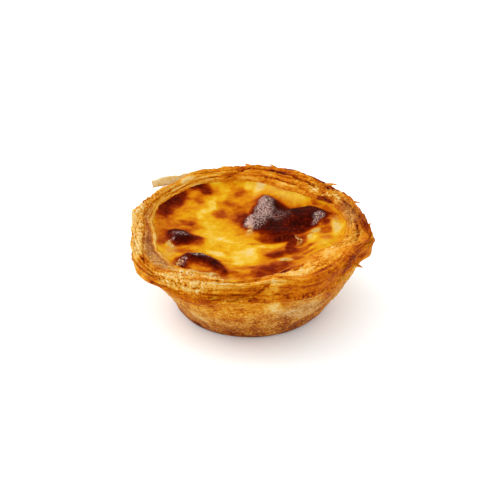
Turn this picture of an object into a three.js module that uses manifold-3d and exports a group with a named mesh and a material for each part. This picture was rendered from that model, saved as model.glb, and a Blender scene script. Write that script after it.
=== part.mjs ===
// A Portuguese custard tart: a flaky pastry case with a thick layered rim, filled with baked custard.
// Millimetres, +Z up. The origin is the centre of the flat base, and azimuth 0 points along +X.
import * as THREE from "three";
import { mergeVertices } from "three/addons/utils/BufferGeometryUtils.js";
import Module from "manifold-3d";

const TURN = 2 * Math.PI;
const DEGREE = Math.PI / 180;

// The pastry case, outside. A reach is a distance from the upright axis.
const BASE_REACH = 23.8; // the foot of the wall
const BASE_FILLET = 0.9; // height at which the wall starts
const WALL_TOP_REACH = 34.6; // the wall just under the lip
const WALL_BELLY = 0.7; // how far the wall bulges beyond a straight cone
const WALL_FOLLOW = 0.45; // share of the rim's swells that the top of the wall follows
const LIP_HEIGHT = 22.0; // lowest edge of the rim
const LIP_REACH = 36.9;
const LIP_UNDERCUT = 0.5; // from the lip's edge down to the top of the wall
const RIM_REACH = 37.3; // outer edge of the rim
const RIM_ROUNDING = 0.7; // how much the outer face stops short of the crest
const CREST_HEIGHT = 28.4; // top of the rim
const CREST_SETBACK = 1.7; // from the rim's outer edge in to its highest line

// The pastry case, inside.
const INNER_LIP = 0.9; // the pastry's inner edge stands out of the custard by this much
const SHOULDER_HEIGHT = 18; // up to here the inside of the case follows the wall
const SHOULDER_REACH = 28.4;
const FLOOR_HEIGHT = 3.6; // thickness of the pastry under the custard
const FLOOR_REACH = 20.4;

// The custard.
const CUSTARD_EDGE_REACH = 30.9;
const CUSTARD_EDGE_HEIGHT = 25.4;
const CUSTARD_DIP = 1.3; // from its edge down to the middle
const CUSTARD_WAVE = 0.2; // unevenness of its surface
const FIT_GAP = 0.35; // clearance between custard and case

// The pastry layers that show as ledges on the rim, and the roughness of the pastry.
const OUTSIDE_LAYERS = 6;
const OUTSIDE_LEDGE = 0.55;
const OUTSIDE_WANDER = 0.4;
const TOP_LAYERS = 3;
const TOP_LEDGE = 0.8;
const TOP_WANDER = 0.35;
const RAGGED = 0.3;
const WALL_CRAG = 0.38;

const CASE_SEGMENTS = 120;
const WALL_STEPS = 10;
const CUSTARD_SEGMENTS = 72;
const SURFACE_STEPS = 19;
const FLAKE_PIECES = 4;
const STRIP_PIECES = 10;

// Where the rim departs from a circle: azimuth and spread in degrees, then millimetres outwards and upwards.
const RIM_SWELLS = [
  { at: 113, spread: 18, out: 2.1, up: 0.3 },
  { at: 166, spread: 13, out: 1.1, up: 0 },
  { at: 54, spread: 10, out: 0.5, up: 0.4 },
  { at: 28, spread: 14, out: -1.4, up: 0 },
  { at: -13, spread: 9, out: 2.0, up: -0.9 },
  { at: -62, spread: 15, out: 0.9, up: 0 },
  { at: -91, spread: 8, out: -0.9, up: -0.2 },
  { at: -98, spread: 12, out: 0, up: -1.2 },
  { at: -117, spread: 13, out: 2.2, up: 0.1 },
  { at: -136, spread: 9, out: 0, up: -1.6 },
  { at: -152, spread: 11, out: 2.1, up: -0.6 },
];

// The same for the lower edge of the lip, which hangs lower in places.
const LIP_SWELLS = [
  { at: -152, spread: 13, out: 0.4, up: -1.4 },
  { at: -120, spread: 8, out: 0, up: -0.9 },
  { at: -100, spread: 17, out: 0, up: -1.3 },
  { at: -75, spread: 14, out: 0, up: -0.5 },
  { at: -46, spread: 7, out: 0, up: -2.0 },
  { at: -25, spread: 16, out: 0, up: 0.7 },
  { at: 60, spread: 24, out: 0, up: -0.8 },
  { at: 165, spread: 20, out: 0, up: 0.5 },
];

// The same for the foot of the wall, which is set to the right, and for the wall half-way up.
const BASE_SWELLS = [
  { at: -22, spread: 18, out: 0.8 },
  { at: -76, spread: 14, out: -0.5 },
  { at: -150, spread: 24, out: -0.5 },
];
const WALL_SWELLS = [
  { at: -27, spread: 13, out: 0.9 },
  { at: -150, spread: 16, out: -1.8 },
];

// The same for the line where the custard meets the pastry.
const CUSTARD_EDGE_SWELLS = [
  { at: 116, spread: 24, out: 0.8, up: 0.3 },
  { at: 150, spread: 12, out: 1.0, up: 0 },
  { at: 58, spread: 22, out: -4.3, up: 0.3 },
  { at: -46, spread: 23, out: -6.0, up: 0.2 },
  { at: -110, spread: 24, out: 0.5, up: -0.4 },
  { at: -117, spread: 7, out: -1.4, up: 0.3 },
  { at: -175, spread: 16, out: -0.9, up: 0 },
];

// Deep folds between two layers: on the rim's top they open downwards, on its outer face inwards.
const TOP_FOLDS = [
  { layer: 1, at: 176, spread: 26, deep: 0.9 },
  { layer: 1, at: -5, spread: 6, deep: 1.2 },
];
const OUTSIDE_FOLDS = [
  { layer: 3, at: -83, spread: 7, deep: 0.9 },
  { layer: 2, at: -68, spread: 8, deep: 0.7 },
  { layer: 4, at: -128, spread: 16, deep: 0.5 },
];

// The scorched blisters of the custard: centre, half length and half width, the way it runs in degrees, and its rise.
const BLISTERS = [
  { x: 5, y: 12, long: 13, wide: 8.5, turn: 75, rise: 1.1 },
  { x: 16, y: 6, long: 11, wide: 8, turn: 20, rise: 0.8 },
  { x: -22, y: -1.5, long: 5.0, wide: 3.4, turn: -35, rise: 1.0 },
  { x: -17.5, y: -15, long: 5.4, wide: 3.2, turn: 15, rise: 1.2 },
  { x: -11, y: -19, long: 7.0, wide: 3.2, turn: -52, rise: 1.3 },
  { x: 6, y: -23, long: 6.0, wide: 3.6, turn: 10, rise: 0.6 },
  { x: -25.5, y: 17, long: 6, wide: 3.2, turn: 60, rise: 0.6 },
  { x: -16, y: 26.5, long: 5, wide: 3, turn: 10, rise: 0.5 },
];

// The long peeled strip of pastry behind the left of the rim, from its root out along its heading.
const STRIP = { at: 112, reach: 37.6, height: 27.4, heading: 205.5, length: 20.5, width: 1.9, thick: 0.7, bow: 1.4 };

// Small flakes that stand out of the rim's outer edge, each leaning up and turned aside by so many degrees.
const FLAKES = [
  { at: 88, height: 27.9, length: 3.0, width: 2.2, lean: 12, turn: 54 },
  { at: 74, height: 27.8, length: 3.4, width: 2.4, lean: 12, turn: 56 },
  { at: 61, height: 27.6, length: 3.0, width: 2.6, lean: 8, turn: 54 },
  { at: 47, height: 27.4, length: 3.2, width: 2.8, lean: 6, turn: -52 },
  { at: 26, height: 27.0, length: 3.2, width: 2.2, lean: 6, turn: -46 },
  { at: -2, height: 25.8, length: 3.0, width: 2.0, lean: 12, turn: 50 },
  { at: -30, height: 24.0, length: 3.0, width: 2.4, lean: -6, turn: -50 },
  { at: -44, height: 23.0, length: 2.6, width: 2.6, lean: -10, turn: 52 },
  { at: -147, height: 21.9, length: 2.2, width: 2.8, lean: -8, turn: -50 },
  { at: 150, height: 26.4, length: 2.6, width: 2.4, lean: 4, turn: 56 },
];
const FLAKE_THICKNESS = 0.55;
const FLAKE_ROOT = 1.6; // how much of a flake lies inside the rim

// Sums of sines that wander gently round the tart: turns per circle, size and phase of each.
const RIM_WAVES = [
  [5, 0.22, 0.7],
  [9, 0.16, 2.1],
  [14, 0.12, 4.0],
];
const CREST_WAVES = [
  [4, 0.3, 1.9],
  [7, 0.26, 5.2],
  [13, 0.2, 0.4],
];
const CUSTARD_WAVES = [
  [3, 0.25, 1.1],
  [8, 0.22, 3.3],
  [13, 0.14, 5.9],
];

const lerp = THREE.MathUtils.lerp;
const smooth = (t) => THREE.MathUtils.smoothstep(t, 0, 1);

// How strongly a swell is felt: 1 at its middle, fading over its spread.
function bell(azimuth, swell) {
  const away = THREE.MathUtils.euclideanModulo(azimuth / DEGREE - swell.at + 180, 360) - 180;
  return Math.exp(-0.5 * (away / swell.spread) ** 2);
}

const swollen = (azimuth, swells, way) =>
  swells.reduce((sum, swell) => sum + swell[way] * bell(azimuth, swell), 0);

const folded = (azimuth, folds, station) =>
  swollen(azimuth, folds.filter((fold) => fold.layer === station.layer && station.ledge < 0), "deep");

const wavy = (azimuth, waves) =>
  waves.reduce((sum, [turns, size, phase]) => sum + size * Math.sin(turns * azimuth + phase), 0);

// A repeatable number between -1 and 1 for a pair of whole numbers.
function hashed(i, j) {
  let h = Math.imul(i + 7919, 668265263) ^ Math.imul(j + 104729, 2246822519);
  h = Math.imul(h ^ (h >>> 13), 1274126177);
  return ((h ^ (h >>> 16)) >>> 0) / 2 ** 31 - 1;
}

// Smooth noise over the pastry, in cells round the tart and cells along its section.
function crag(azimuth, along, cellsRound, seed) {
  const u = THREE.MathUtils.euclideanModulo(azimuth / TURN, 1) * cellsRound;
  const [i, j] = [Math.floor(u), Math.floor(along)];
  const [s, t] = [smooth(u - i), smooth(along - j)];
  const at = (a, b) => hashed((i + a) % cellsRound, j + b + seed * 1000);
  return lerp(lerp(at(0, 0), at(1, 0), s), lerp(at(0, 1), at(1, 1), s), t);
}

const rimReach = (azimuth) => RIM_REACH + swollen(azimuth, RIM_SWELLS, "out") + wavy(azimuth, RIM_WAVES);
const crestHeight = (azimuth) => CREST_HEIGHT + swollen(azimuth, RIM_SWELLS, "up") + wavy(azimuth, CREST_WAVES);
const baseReach = (azimuth) => BASE_REACH + swollen(azimuth, BASE_SWELLS, "out");
const lipHeight = (azimuth) => LIP_HEIGHT + swollen(azimuth, LIP_SWELLS, "up") + wavy(azimuth, CREST_WAVES);
const lipReach = (azimuth) =>
  LIP_REACH + swollen(azimuth, RIM_SWELLS, "out") + swollen(azimuth, LIP_SWELLS, "out");
const custardEdge = (azimuth) => ({
  reach: CUSTARD_EDGE_REACH + swollen(azimuth, CUSTARD_EDGE_SWELLS, "out") + wavy(azimuth, CUSTARD_WAVES),
  height: CUSTARD_EDGE_HEIGHT + swollen(azimuth, CUSTARD_EDGE_SWELLS, "up"),
});

// The inside of the case below the custard's edge, t from 0 at the edge to 1 at the floor.
function cavityWall(azimuth, t) {
  const edge = custardEdge(azimuth);
  const height = lerp(edge.height, FLOOR_HEIGHT, t);
  const share = Math.min(1, (height - FLOOR_HEIGHT) / (SHOULDER_HEIGHT - FLOOR_HEIGHT));
  const climb = Math.max(0, (height - SHOULDER_HEIGHT) / (edge.height - SHOULDER_HEIGHT));
  return { reach: lerp(lerp(FLOOR_REACH, SHOULDER_REACH, share), edge.reach, smooth(climb)), height };
}

// Each zone of the case's section gives the point of a station: t is its share of the zone, and a ledge
// stands out of its layer (0.5) or is the notch beneath it (-0.5).
const caseZones = {
  base: (azimuth, { t }) => ({ reach: t * baseReach(azimuth), height: 0 }),
  wall: (azimuth, { t }) => {
    const belly = (WALL_BELLY + swollen(azimuth, WALL_SWELLS, "out")) * Math.sin(Math.PI * t);
    const straight = lerp(baseReach(azimuth), WALL_TOP_REACH, t);
    const follow = WALL_FOLLOW * t * swollen(azimuth, RIM_SWELLS, "out");
    const rough = WALL_CRAG * (crag(azimuth, t * 7, 40, 1) + 0.6 * crag(azimuth, t * 13, 90, 2));
    const reach = straight + belly + follow + rough;
    return { reach, height: lerp(BASE_FILLET, lipHeight(azimuth) - LIP_UNDERCUT, t) };
  },
  lip: (azimuth) => ({ reach: lipReach(azimuth), height: lipHeight(azimuth) }),
  outside: (azimuth, station) => {
    const { t, layer, ledge } = station;
    const spread = lerp(lipReach(azimuth), rimReach(azimuth), smooth(t)) - RIM_ROUNDING * Math.max(0, t - 0.7);
    const strength = 0.55 + 0.45 * crag(azimuth, layer * 5, 22, 3);
    const ragged = RAGGED * crag(azimuth, layer * 5, 75, 4) - folded(azimuth, OUTSIDE_FOLDS, station);
    const wander = OUTSIDE_WANDER * crag(azimuth, layer * 0.8, 9, 5) * Math.sin(Math.PI * t);
    return {
      reach: spread + ragged + OUTSIDE_LEDGE * strength * ledge,
      height: lerp(lipHeight(azimuth) + LIP_UNDERCUT, crestHeight(azimuth) - RIM_ROUNDING, t) + wander,
    };
  },
  top: (azimuth, station) => {
    const { t, layer, ledge } = station;
    const edge = custardEdge(azimuth);
    const wander = TOP_WANDER * crag(azimuth, layer * 0.8, 11, 7) * Math.sin(Math.PI * t);
    const fall = lerp(crestHeight(azimuth), edge.height + INNER_LIP, t ** 1.5);
    const strength = 0.6 + 0.4 * crag(azimuth, layer * 5, 18, 6);
    const ragged = RAGGED * crag(azimuth, t * 6, 80, 8) - folded(azimuth, TOP_FOLDS, station);
    return {
      reach: lerp(rimReach(azimuth) - CREST_SETBACK, edge.reach + INNER_LIP, t) + wander,
      height: fall + ragged + TOP_LEDGE * strength * ledge,
    };
  },
  inside: (azimuth, { t }) => cavityWall(azimuth, t),
  floor: (azimuth, { t }) => ({ reach: t * FLOOR_REACH, height: FLOOR_HEIGHT }),
};

const steps = (zone, shares) => shares.map((t) => ({ zone, t }));
const evenly = (count) => Array.from({ length: count }, (_, k) => k / (count - 1));

// Two stations for each pastry layer: the notch under it, then its edge.
const ledges = (zone, layers) =>
  Array.from({ length: 2 * layers }, (_, k) => ({
    zone,
    layer: Math.floor(k / 2),
    ledge: k % 2 ? 0.5 : -0.5,
    t: (k + 0.5) / (2 * layers),
  }));

const caseStations = [
  ...steps("base", [0, 0.5, 0.96]),
  ...steps("wall", evenly(WALL_STEPS)),
  ...steps("lip", [0]),
  ...ledges("outside", OUTSIDE_LAYERS),
  { zone: "top", t: 0, layer: 0, ledge: 0.2 },
  ...ledges("top", TOP_LAYERS),
  { zone: "top", t: 1, layer: TOP_LAYERS, ledge: 0 },
  ...steps("inside", [0, 0.12, 0.35, 0.7, 1]),
  ...steps("floor", [0.5, 0]),
];

// How far the blisters raise the custard's surface at the point (x, y).
function blistered(x, y) {
  return BLISTERS.reduce((sum, blister) => {
    const [c, s] = [Math.cos(blister.turn * DEGREE), Math.sin(blister.turn * DEGREE)];
    const along = (c * (x - blister.x) + s * (y - blister.y)) / blister.long;
    const across = (c * (y - blister.y) - s * (x - blister.x)) / blister.wide;
    return sum + blister.rise * smooth(1.7 - 1.7 * Math.hypot(along, across));
  }, 0);
}

const custardZones = {
  underside: (azimuth, { t }) => ({ reach: t * (FLOOR_REACH - FIT_GAP), height: FLOOR_HEIGHT + FIT_GAP }),
  side: (azimuth, { t }) => {
    const { reach, height } = cavityWall(azimuth, t);
    return { reach: reach - FIT_GAP, height };
  },
  surface: (azimuth, { t }) => {
    const edge = custardEdge(azimuth);
    const reach = t * (edge.reach - FIT_GAP);
    const [x, y] = [reach * Math.cos(azimuth), reach * Math.sin(azimuth)];
    const level = lerp(CUSTARD_EDGE_HEIGHT, edge.height, t) - CUSTARD_DIP * (1 - t ** 3);
    const uneven = CUSTARD_WAVE * (Math.sin(0.33 * x + 1) + Math.sin(0.41 * y + 0.2 * x)) * (1 - t ** 4);
    return { reach, height: level + uneven + blistered(x, y) * (1 - t ** 8) };
  },
};

const custardStations = [
  ...steps("underside", [0]),
  ...steps("side", [0.965, 0.7, 0.35, 0.12, 0]),
  ...steps("surface", evenly(SURFACE_STEPS).reverse().slice(1)),
];

// A solid turned about the upright axis, whose section changes with azimuth as its zones say.
function turned(stations, zones, segments) {
  const place = (station, azimuth) => zones[station.zone](azimuth, station);
  const profile = stations.map((station) => {
    const { reach, height } = place(station, 0);
    return new THREE.Vector2(reach, height);
  });
  const geometry = new THREE.LatheGeometry(profile, segments);
  const position = geometry.getAttribute("position");
  for (let column = 0; column <= segments; column += 1) {
    const azimuth = ((column % segments) / segments) * TURN;
    stations.forEach((station, row) => {
      const { reach, height } = place(station, azimuth);
      const [x, y] = [reach * Math.cos(azimuth), reach * Math.sin(azimuth)];
      position.setXYZ(column * stations.length + row, x, y, height);
    });
  }
  return geometry;
}

// A thin plate along +X from the origin, tapered and ragged towards its free end and bowed sideways.
function plate({ length, width, thick, bow, pieces }) {
  const geometry = new THREE.BoxGeometry(length, width, thick, pieces, 1, 1);
  geometry.translate(length / 2, 0, 0);
  const position = geometry.getAttribute("position");
  for (let k = 0; k < position.count; k += 1) {
    const t = position.getX(k) / length;
    const ragged = 0.12 * hashed(Math.round(t * pieces), Math.sign(position.getY(k)));
    position.setY(k, position.getY(k) * (1 - 0.4 * t ** 2 + ragged));
    position.setZ(k, position.getZ(k) * (1 - 0.3 * t) + bow * 4 * t * (1 - t));
  }
  return geometry;
}

// A flake rooted in the rim at an azimuth, leaning up by lean and turned aside by turn.
function rimFlake({ at, height, length, width, lean, turn }) {
  const size = { length: length + FLAKE_ROOT, width, thick: FLAKE_THICKNESS };
  const geometry = plate({ ...size, bow: 0.2, pieces: FLAKE_PIECES });
  const azimuth = at * DEGREE;
  const root = rimReach(azimuth) - FLAKE_ROOT;
  geometry.rotateY(-lean * DEGREE);
  geometry.rotateZ(azimuth + turn * DEGREE);
  geometry.translate(root * Math.cos(azimuth), root * Math.sin(azimuth), height);
  return geometry;
}

// The strip stands on its long edge and runs straight on where the rim curves away.
function peeledStrip({ at, reach, height, heading, ...size }) {
  const geometry = plate({ ...size, pieces: STRIP_PIECES });
  geometry.rotateX(TURN / 4 - 0.3);
  geometry.rotateZ(heading * DEGREE);
  geometry.translate(reach * Math.cos(at * DEGREE), reach * Math.sin(at * DEGREE), height);
  return geometry;
}

const wasm = await Module();
wasm.setup();

function toSolid(geometry) {
  const bare = geometry.clone();
  bare.deleteAttribute("normal");
  bare.deleteAttribute("uv");
  const merged = mergeVertices(bare, 1e-4);
  const vertProperties = new Float32Array(merged.getAttribute("position").array);
  const triVerts = new Uint32Array(merged.index.array);
  return new wasm.Manifold(new wasm.Mesh({ numProp: 3, vertProperties, triVerts }));
}

function toGeometry(solid) {
  const { vertProperties, triVerts } = solid.getMesh();
  const geometry = new THREE.BufferGeometry();
  geometry.setAttribute("position", new THREE.BufferAttribute(vertProperties, 3));
  geometry.setIndex(new THREE.BufferAttribute(triVerts, 1));
  geometry.computeVertexNormals();
  return geometry;
}

function pastryCase() {
  const flakes = [peeledStrip(STRIP), ...FLAKES.map(rimFlake)];
  const whole = flakes.reduce(
    (solid, flake) => solid.add(toSolid(flake)),
    toSolid(turned(caseStations, caseZones, CASE_SEGMENTS)),
  );
  const material = new THREE.MeshStandardMaterial({ color: 0xd18a36, roughness: 0.6, metalness: 0 });
  const mesh = new THREE.Mesh(toGeometry(whole), material);
  mesh.name = "pastry_case";
  return mesh;
}

function custardFilling() {
  const geometry = turned(custardStations, custardZones, CUSTARD_SEGMENTS);
  const material = new THREE.MeshStandardMaterial({ color: 0xeda81e, roughness: 0.3, metalness: 0 });
  const mesh = new THREE.Mesh(geometry, material);
  mesh.name = "custard";
  return mesh;
}

const tart = new THREE.Group();
tart.add(pastryCase(), custardFilling());

export default tart;
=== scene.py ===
"""A Portuguese custard tart: layered flaky pastry round a scorched, glossy custard.

Lengths in the tables are in millimetres, and angles in degrees.
"""
import math
import random

import bmesh
import bpy
import numpy as np
from mathutils import Matrix, Vector


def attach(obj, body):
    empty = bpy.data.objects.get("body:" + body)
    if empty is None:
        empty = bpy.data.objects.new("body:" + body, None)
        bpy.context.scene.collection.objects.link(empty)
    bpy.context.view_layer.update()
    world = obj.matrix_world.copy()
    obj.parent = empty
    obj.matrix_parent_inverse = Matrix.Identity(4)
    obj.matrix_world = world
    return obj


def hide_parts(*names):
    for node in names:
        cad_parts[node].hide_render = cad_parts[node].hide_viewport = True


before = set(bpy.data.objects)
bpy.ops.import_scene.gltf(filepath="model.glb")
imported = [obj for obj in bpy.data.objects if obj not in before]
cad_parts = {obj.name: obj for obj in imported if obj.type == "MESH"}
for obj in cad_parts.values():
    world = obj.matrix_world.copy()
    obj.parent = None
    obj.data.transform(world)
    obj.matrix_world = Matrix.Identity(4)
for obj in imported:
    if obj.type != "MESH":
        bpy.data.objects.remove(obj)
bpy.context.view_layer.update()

MM = 0.001
TURN = 2 * math.pi
# A turned body is spun as one wedge and copied round, and its seams are welded within this many metres.
WEDGES = 16
WELD = 2e-6

# ---------------------------------------------------------------- driving sizes
BASE_REACH = 23.8
BASE_FILLET = 0.9
WALL_TOP_REACH = 34.6
WALL_BELLY = 0.7
WALL_FOLLOW = 0.45
LIP_HEIGHT = 22.0
LIP_REACH = 36.6
LIP_SLOPE = 2.2
RIM_REACH = 37.0
CREST_HEIGHT = 28.4
CREST_SETBACK = 1.7
INNER_LIP = 0.9
# How far above level the rim faces at its lip, at its crest and at the custard.
LIP_FACING = -6
CREST_FACING = 78
EDGE_FACING = 106
SHOULDER_HEIGHT = 18.0
SHOULDER_REACH = 28.4
FLOOR_HEIGHT = 3.6
FLOOR_REACH = 20.4
CUSTARD_EDGE_REACH = 30.9
CUSTARD_EDGE_HEIGHT = 25.4
CUSTARD_DIP = 1.3
CUSTARD_WAVE = 0.2
CUSTARD_OVERLAP = 0.58
CUSTARD_MENISCUS = 0.62
FIT_GAP = 0.35

# Departures from a circle: azimuth and spread in degrees, then millimetres outwards and upwards.
RIM_SWELLS = (
    (113, 18, 1.6, 0.0),
    (166, 13, 0.7, 0.0),
    (163, 4, -0.8, 0.0),
    (54, 10, 0.5, 0.4),
    (34, 9, -0.9, 0.0),
    (3, 6, -0.5, 0.0),
    (-15, 7, 2.7, -0.9),
    (-62, 15, 0.9, 0.0),
    (-91, 8, -0.9, -0.2),
    (-98, 12, 0.0, -1.2),
    (-117, 13, 2.2, 0.1),
    (-137, 9, 0.6, -1.6),
    (-152, 11, 1.7, -0.6),
)
LIP_SWELLS = (
    (-44, 9, -0.9, 0.0),
    (-141, 8, 0.4, 0.0),
    (-152, 13, 0.4, -1.4),
    (-120, 8, 0.0, -0.9),
    (-100, 17, 0.0, -1.3),
    (-75, 14, 0.0, -0.5),
    (-46, 7, 0.0, -2.0),
    (-25, 16, 0.0, 0.7),
    (60, 24, 0.0, -0.8),
    (165, 20, 0.0, 0.5),
)
# The foot of the wall, and the wall half-way up: outwards only.
BASE_SWELLS = ((-22, 18, 0.8), (-62, 20, 0.2), (-140, 26, 0.4))
WALL_SWELLS = ((-27, 13, 0.4), (-146, 16, -1.9))
CUSTARD_EDGE_SWELLS = (
    (116, 24, 0.8, 0.3),
    (150, 12, 1.0, 0.0),
    (58, 22, -4.3, 0.3),
    (-46, 23, -6.0, 0.2),
    (-110, 24, 0.5, -0.4),
    (-117, 7, -1.4, 0.3),
    (-175, 16, -0.9, 0.0),
)
# Sums of sines: turns per circle, size, phase.
RIM_WAVES = ((5, 0.22, 0.7), (9, 0.16, 2.1), (14, 0.12, 4.0))
CREST_WAVES = ((4, 0.3, 1.9), (7, 0.26, 5.2), (13, 0.2, 0.4))
CUSTARD_WAVES = ((3, 0.25, 1.1), (8, 0.22, 3.3), (13, 0.14, 5.9))

# Noise by what it makes: how much, size of its lumps, seed, and octaves.
NOISES = {
    "custard edge": (0.55, 4.5, 35, 3),
    "layer joint": (0.42, 13, 5, 2),
    "layer reach": (0.6, 8.0, 11, 1),
    "layer waves": (0.3, 2.4, 12, 1),
    "layer nicks": (0.18, 0.9, 17, 1),
    "layer chips": (1.0, 3.6, 13, 1),
    "layer cuts": (1.0, 6.0, 14, 1),
    "layer tone": (0.1, 16, 71, 1),
    "coarse crumbs": (0.9, 1.7, 55, 1),
    "fine crumbs": (1.0, 0.9, 56, 1),
    "rim lumps": (0.42, 8.0, 51, 2),
    "rim bumps": (0.16, 2.6, 52, 1),
    "wall steps": (1.1, 9, 41, 2),
    "wall step fade": (1.0, 11, 45, 1),
    "wall blisters": (1.0, 5.2, 42, 1),
    "wall bumps": (0.34, 2.4, 43, 1),
    "wall grain": (0.16, 1.1, 44, 1),
    "tone turn": (2.4, 4.5, 65, 1),
    "tone place": (0.07, 3.5, 66, 1),
    "streak slant": (3.2, 20, 101, 1),
    "skin x": (0.8, 5.0, 81, 2),
    "skin y": (0.8, 5.0, 82, 2),
    "skin waves": (0.22, 5.5, 83, 2),
    "skin tone": (0.1, 6.0, 84, 3),
    "fold width": (0.2, 2.4, 86, 2),
    "leaf place": (0.05, 6, 91, 1),
    "leaf waves": (0.55, 2.2, 92, 1),
    "leaf nicks": (0.35, 0.8, 93, 1),
    "leaf curl": (0.16, 1.8, 94, 1),
    "plate width": (0.22, 1.4, 95, 1),
    "plate sway": (0.12, 2.5, 96, 1),
    "plate curl": (0.18, 1.6, 97, 1),
}
# The circle round which the rim's noise runs, and how far its levels lie apart.
NOISE_REACH = 37.3
NOISE_LEVEL = 37.0

# ---------------------------------------------------------------- detail of the baked surface
CASE_STEPS = 640
WALL_ROWS = 40
OUTSIDE_LAYERS = 8
TOP_LAYERS = 6
# The section of one pastry layer: share of its height, and how far it stands out (or cuts in, below 0).
LEDGE_PROFILE = ((0.0, -1.0), (0.12, 0.45), (0.3, 1.0), (0.6, 0.95), (0.85, 0.6), (0.97, -0.3))
# What every layer stands out, what a chip takes off that, and the least depth of the cuts between layers.
LAYER_PROUD = 0.12
CHIP_DEPTH = 0.5
LEAST_CUT = 0.25

# Grooves in the rim: points by azimuth and place (0 lip, 1 crest, 2 custard), then depth and half width.
GROOVES = (
    (((158, 1.5), (175, 1.42), (188, 1.38), (200, 1.3), (206, 1.1), (212, 0.8), (217, 0.5)), 0.6, 0.4),
    (((170, 1.02), (184, 0.96), (196, 0.86), (204, 0.6), (210, 0.3)), 0.35, 0.3),
    (((-146, 0.95), (-141, 0.55), (-135, 0.3)), 0.3, 0.35),
    (((-112, 0.4), (-104, 0.25), (-96, 0.3), (-88, 0.26), (-84, 0.5), (-82, 0.9)), 0.5, 0.4),
    (((-80, 0.95), (-82, 0.6), (-79, 0.3), (-70, 0.12)), 0.4, 0.35),
    (((-79, 0.9), (-74, 1.02), (-65, 1.18), (-52, 1.28), (-44, 1.14), (-36, 1.1), (-27, 1.05)), 0.4, 0.3),
    (((-62, 1.04), (-52, 1.03), (-42, 1.06), (-36, 1.0)), 0.35, 0.25),
    (((-17, 1.7), (-12, 1.5), (-7, 1.38), (-1, 1.36), (4, 1.5)), 0.8, 0.45),
    (((-26, 0.75), (-14, 0.8), (-4, 0.95), (8, 1.05)), 0.5, 0.35),
    (((16, 1.2), (27, 1.42), (38, 1.8)), 0.7, 0.4),
    (((24, 1.1), (33, 1.3), (45, 1.75)), 0.5, 0.3),
    (((30, 1.12), (42, 1.2), (52, 1.4)), 0.6, 0.4),
    (((45, 1.3), (58, 1.38), (72, 1.33), (86, 1.2), (100, 1.12), (124, 1.22)), 0.6, 0.35),
    (((50, 1.66), (65, 1.72), (80, 1.64), (94, 1.5)), 0.4, 0.3),
    (((88, 1.15), (97, 1.45), (106, 1.95)), 0.4, 0.4),
    (((112, 1.5), (128, 1.44), (146, 1.5), (158, 1.5)), 0.5, 0.35),
    (((104, 1.75), (122, 1.7), (140, 1.76), (160, 1.7)), 0.4, 0.3),
)
# Overlaps where one sheet lies over the next: azimuth, slant, side, fade in degrees, lift, place, spread.
OVERLAPS = (
    (-81, 4, 1, 11, 0.8, 0.6, 0.5),
    (-3, 8, 1, 7, 0.5, 1.2, 0.4),
    (-118, -12, 1, 9, 0.5, 0.6, 0.5),
    (34, 10, -1, 8, 0.5, 1.2, 0.5),
    (63, -10, 1, 9, 0.5, 1.1, 0.5),
    (205, 8, -1, 8, 0.4, 0.9, 0.5),
)
OVERLAP_EDGE = 0.9
# How dark the pastry is baked from the base (-1) over lip (0) and crest (1) to the custard (2) and below.
TONE_BY_PLACE = (
    (-1.0, -0.93, -0.6, -0.1, 0.0, 0.5, 1.0, 1.5, 1.85, 2.0, 2.4),
    (0.7, 0.56, 0.49, 0.44, 0.54, 0.58, 0.52, 0.48, 0.5, 0.5, 0.4),
)
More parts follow.
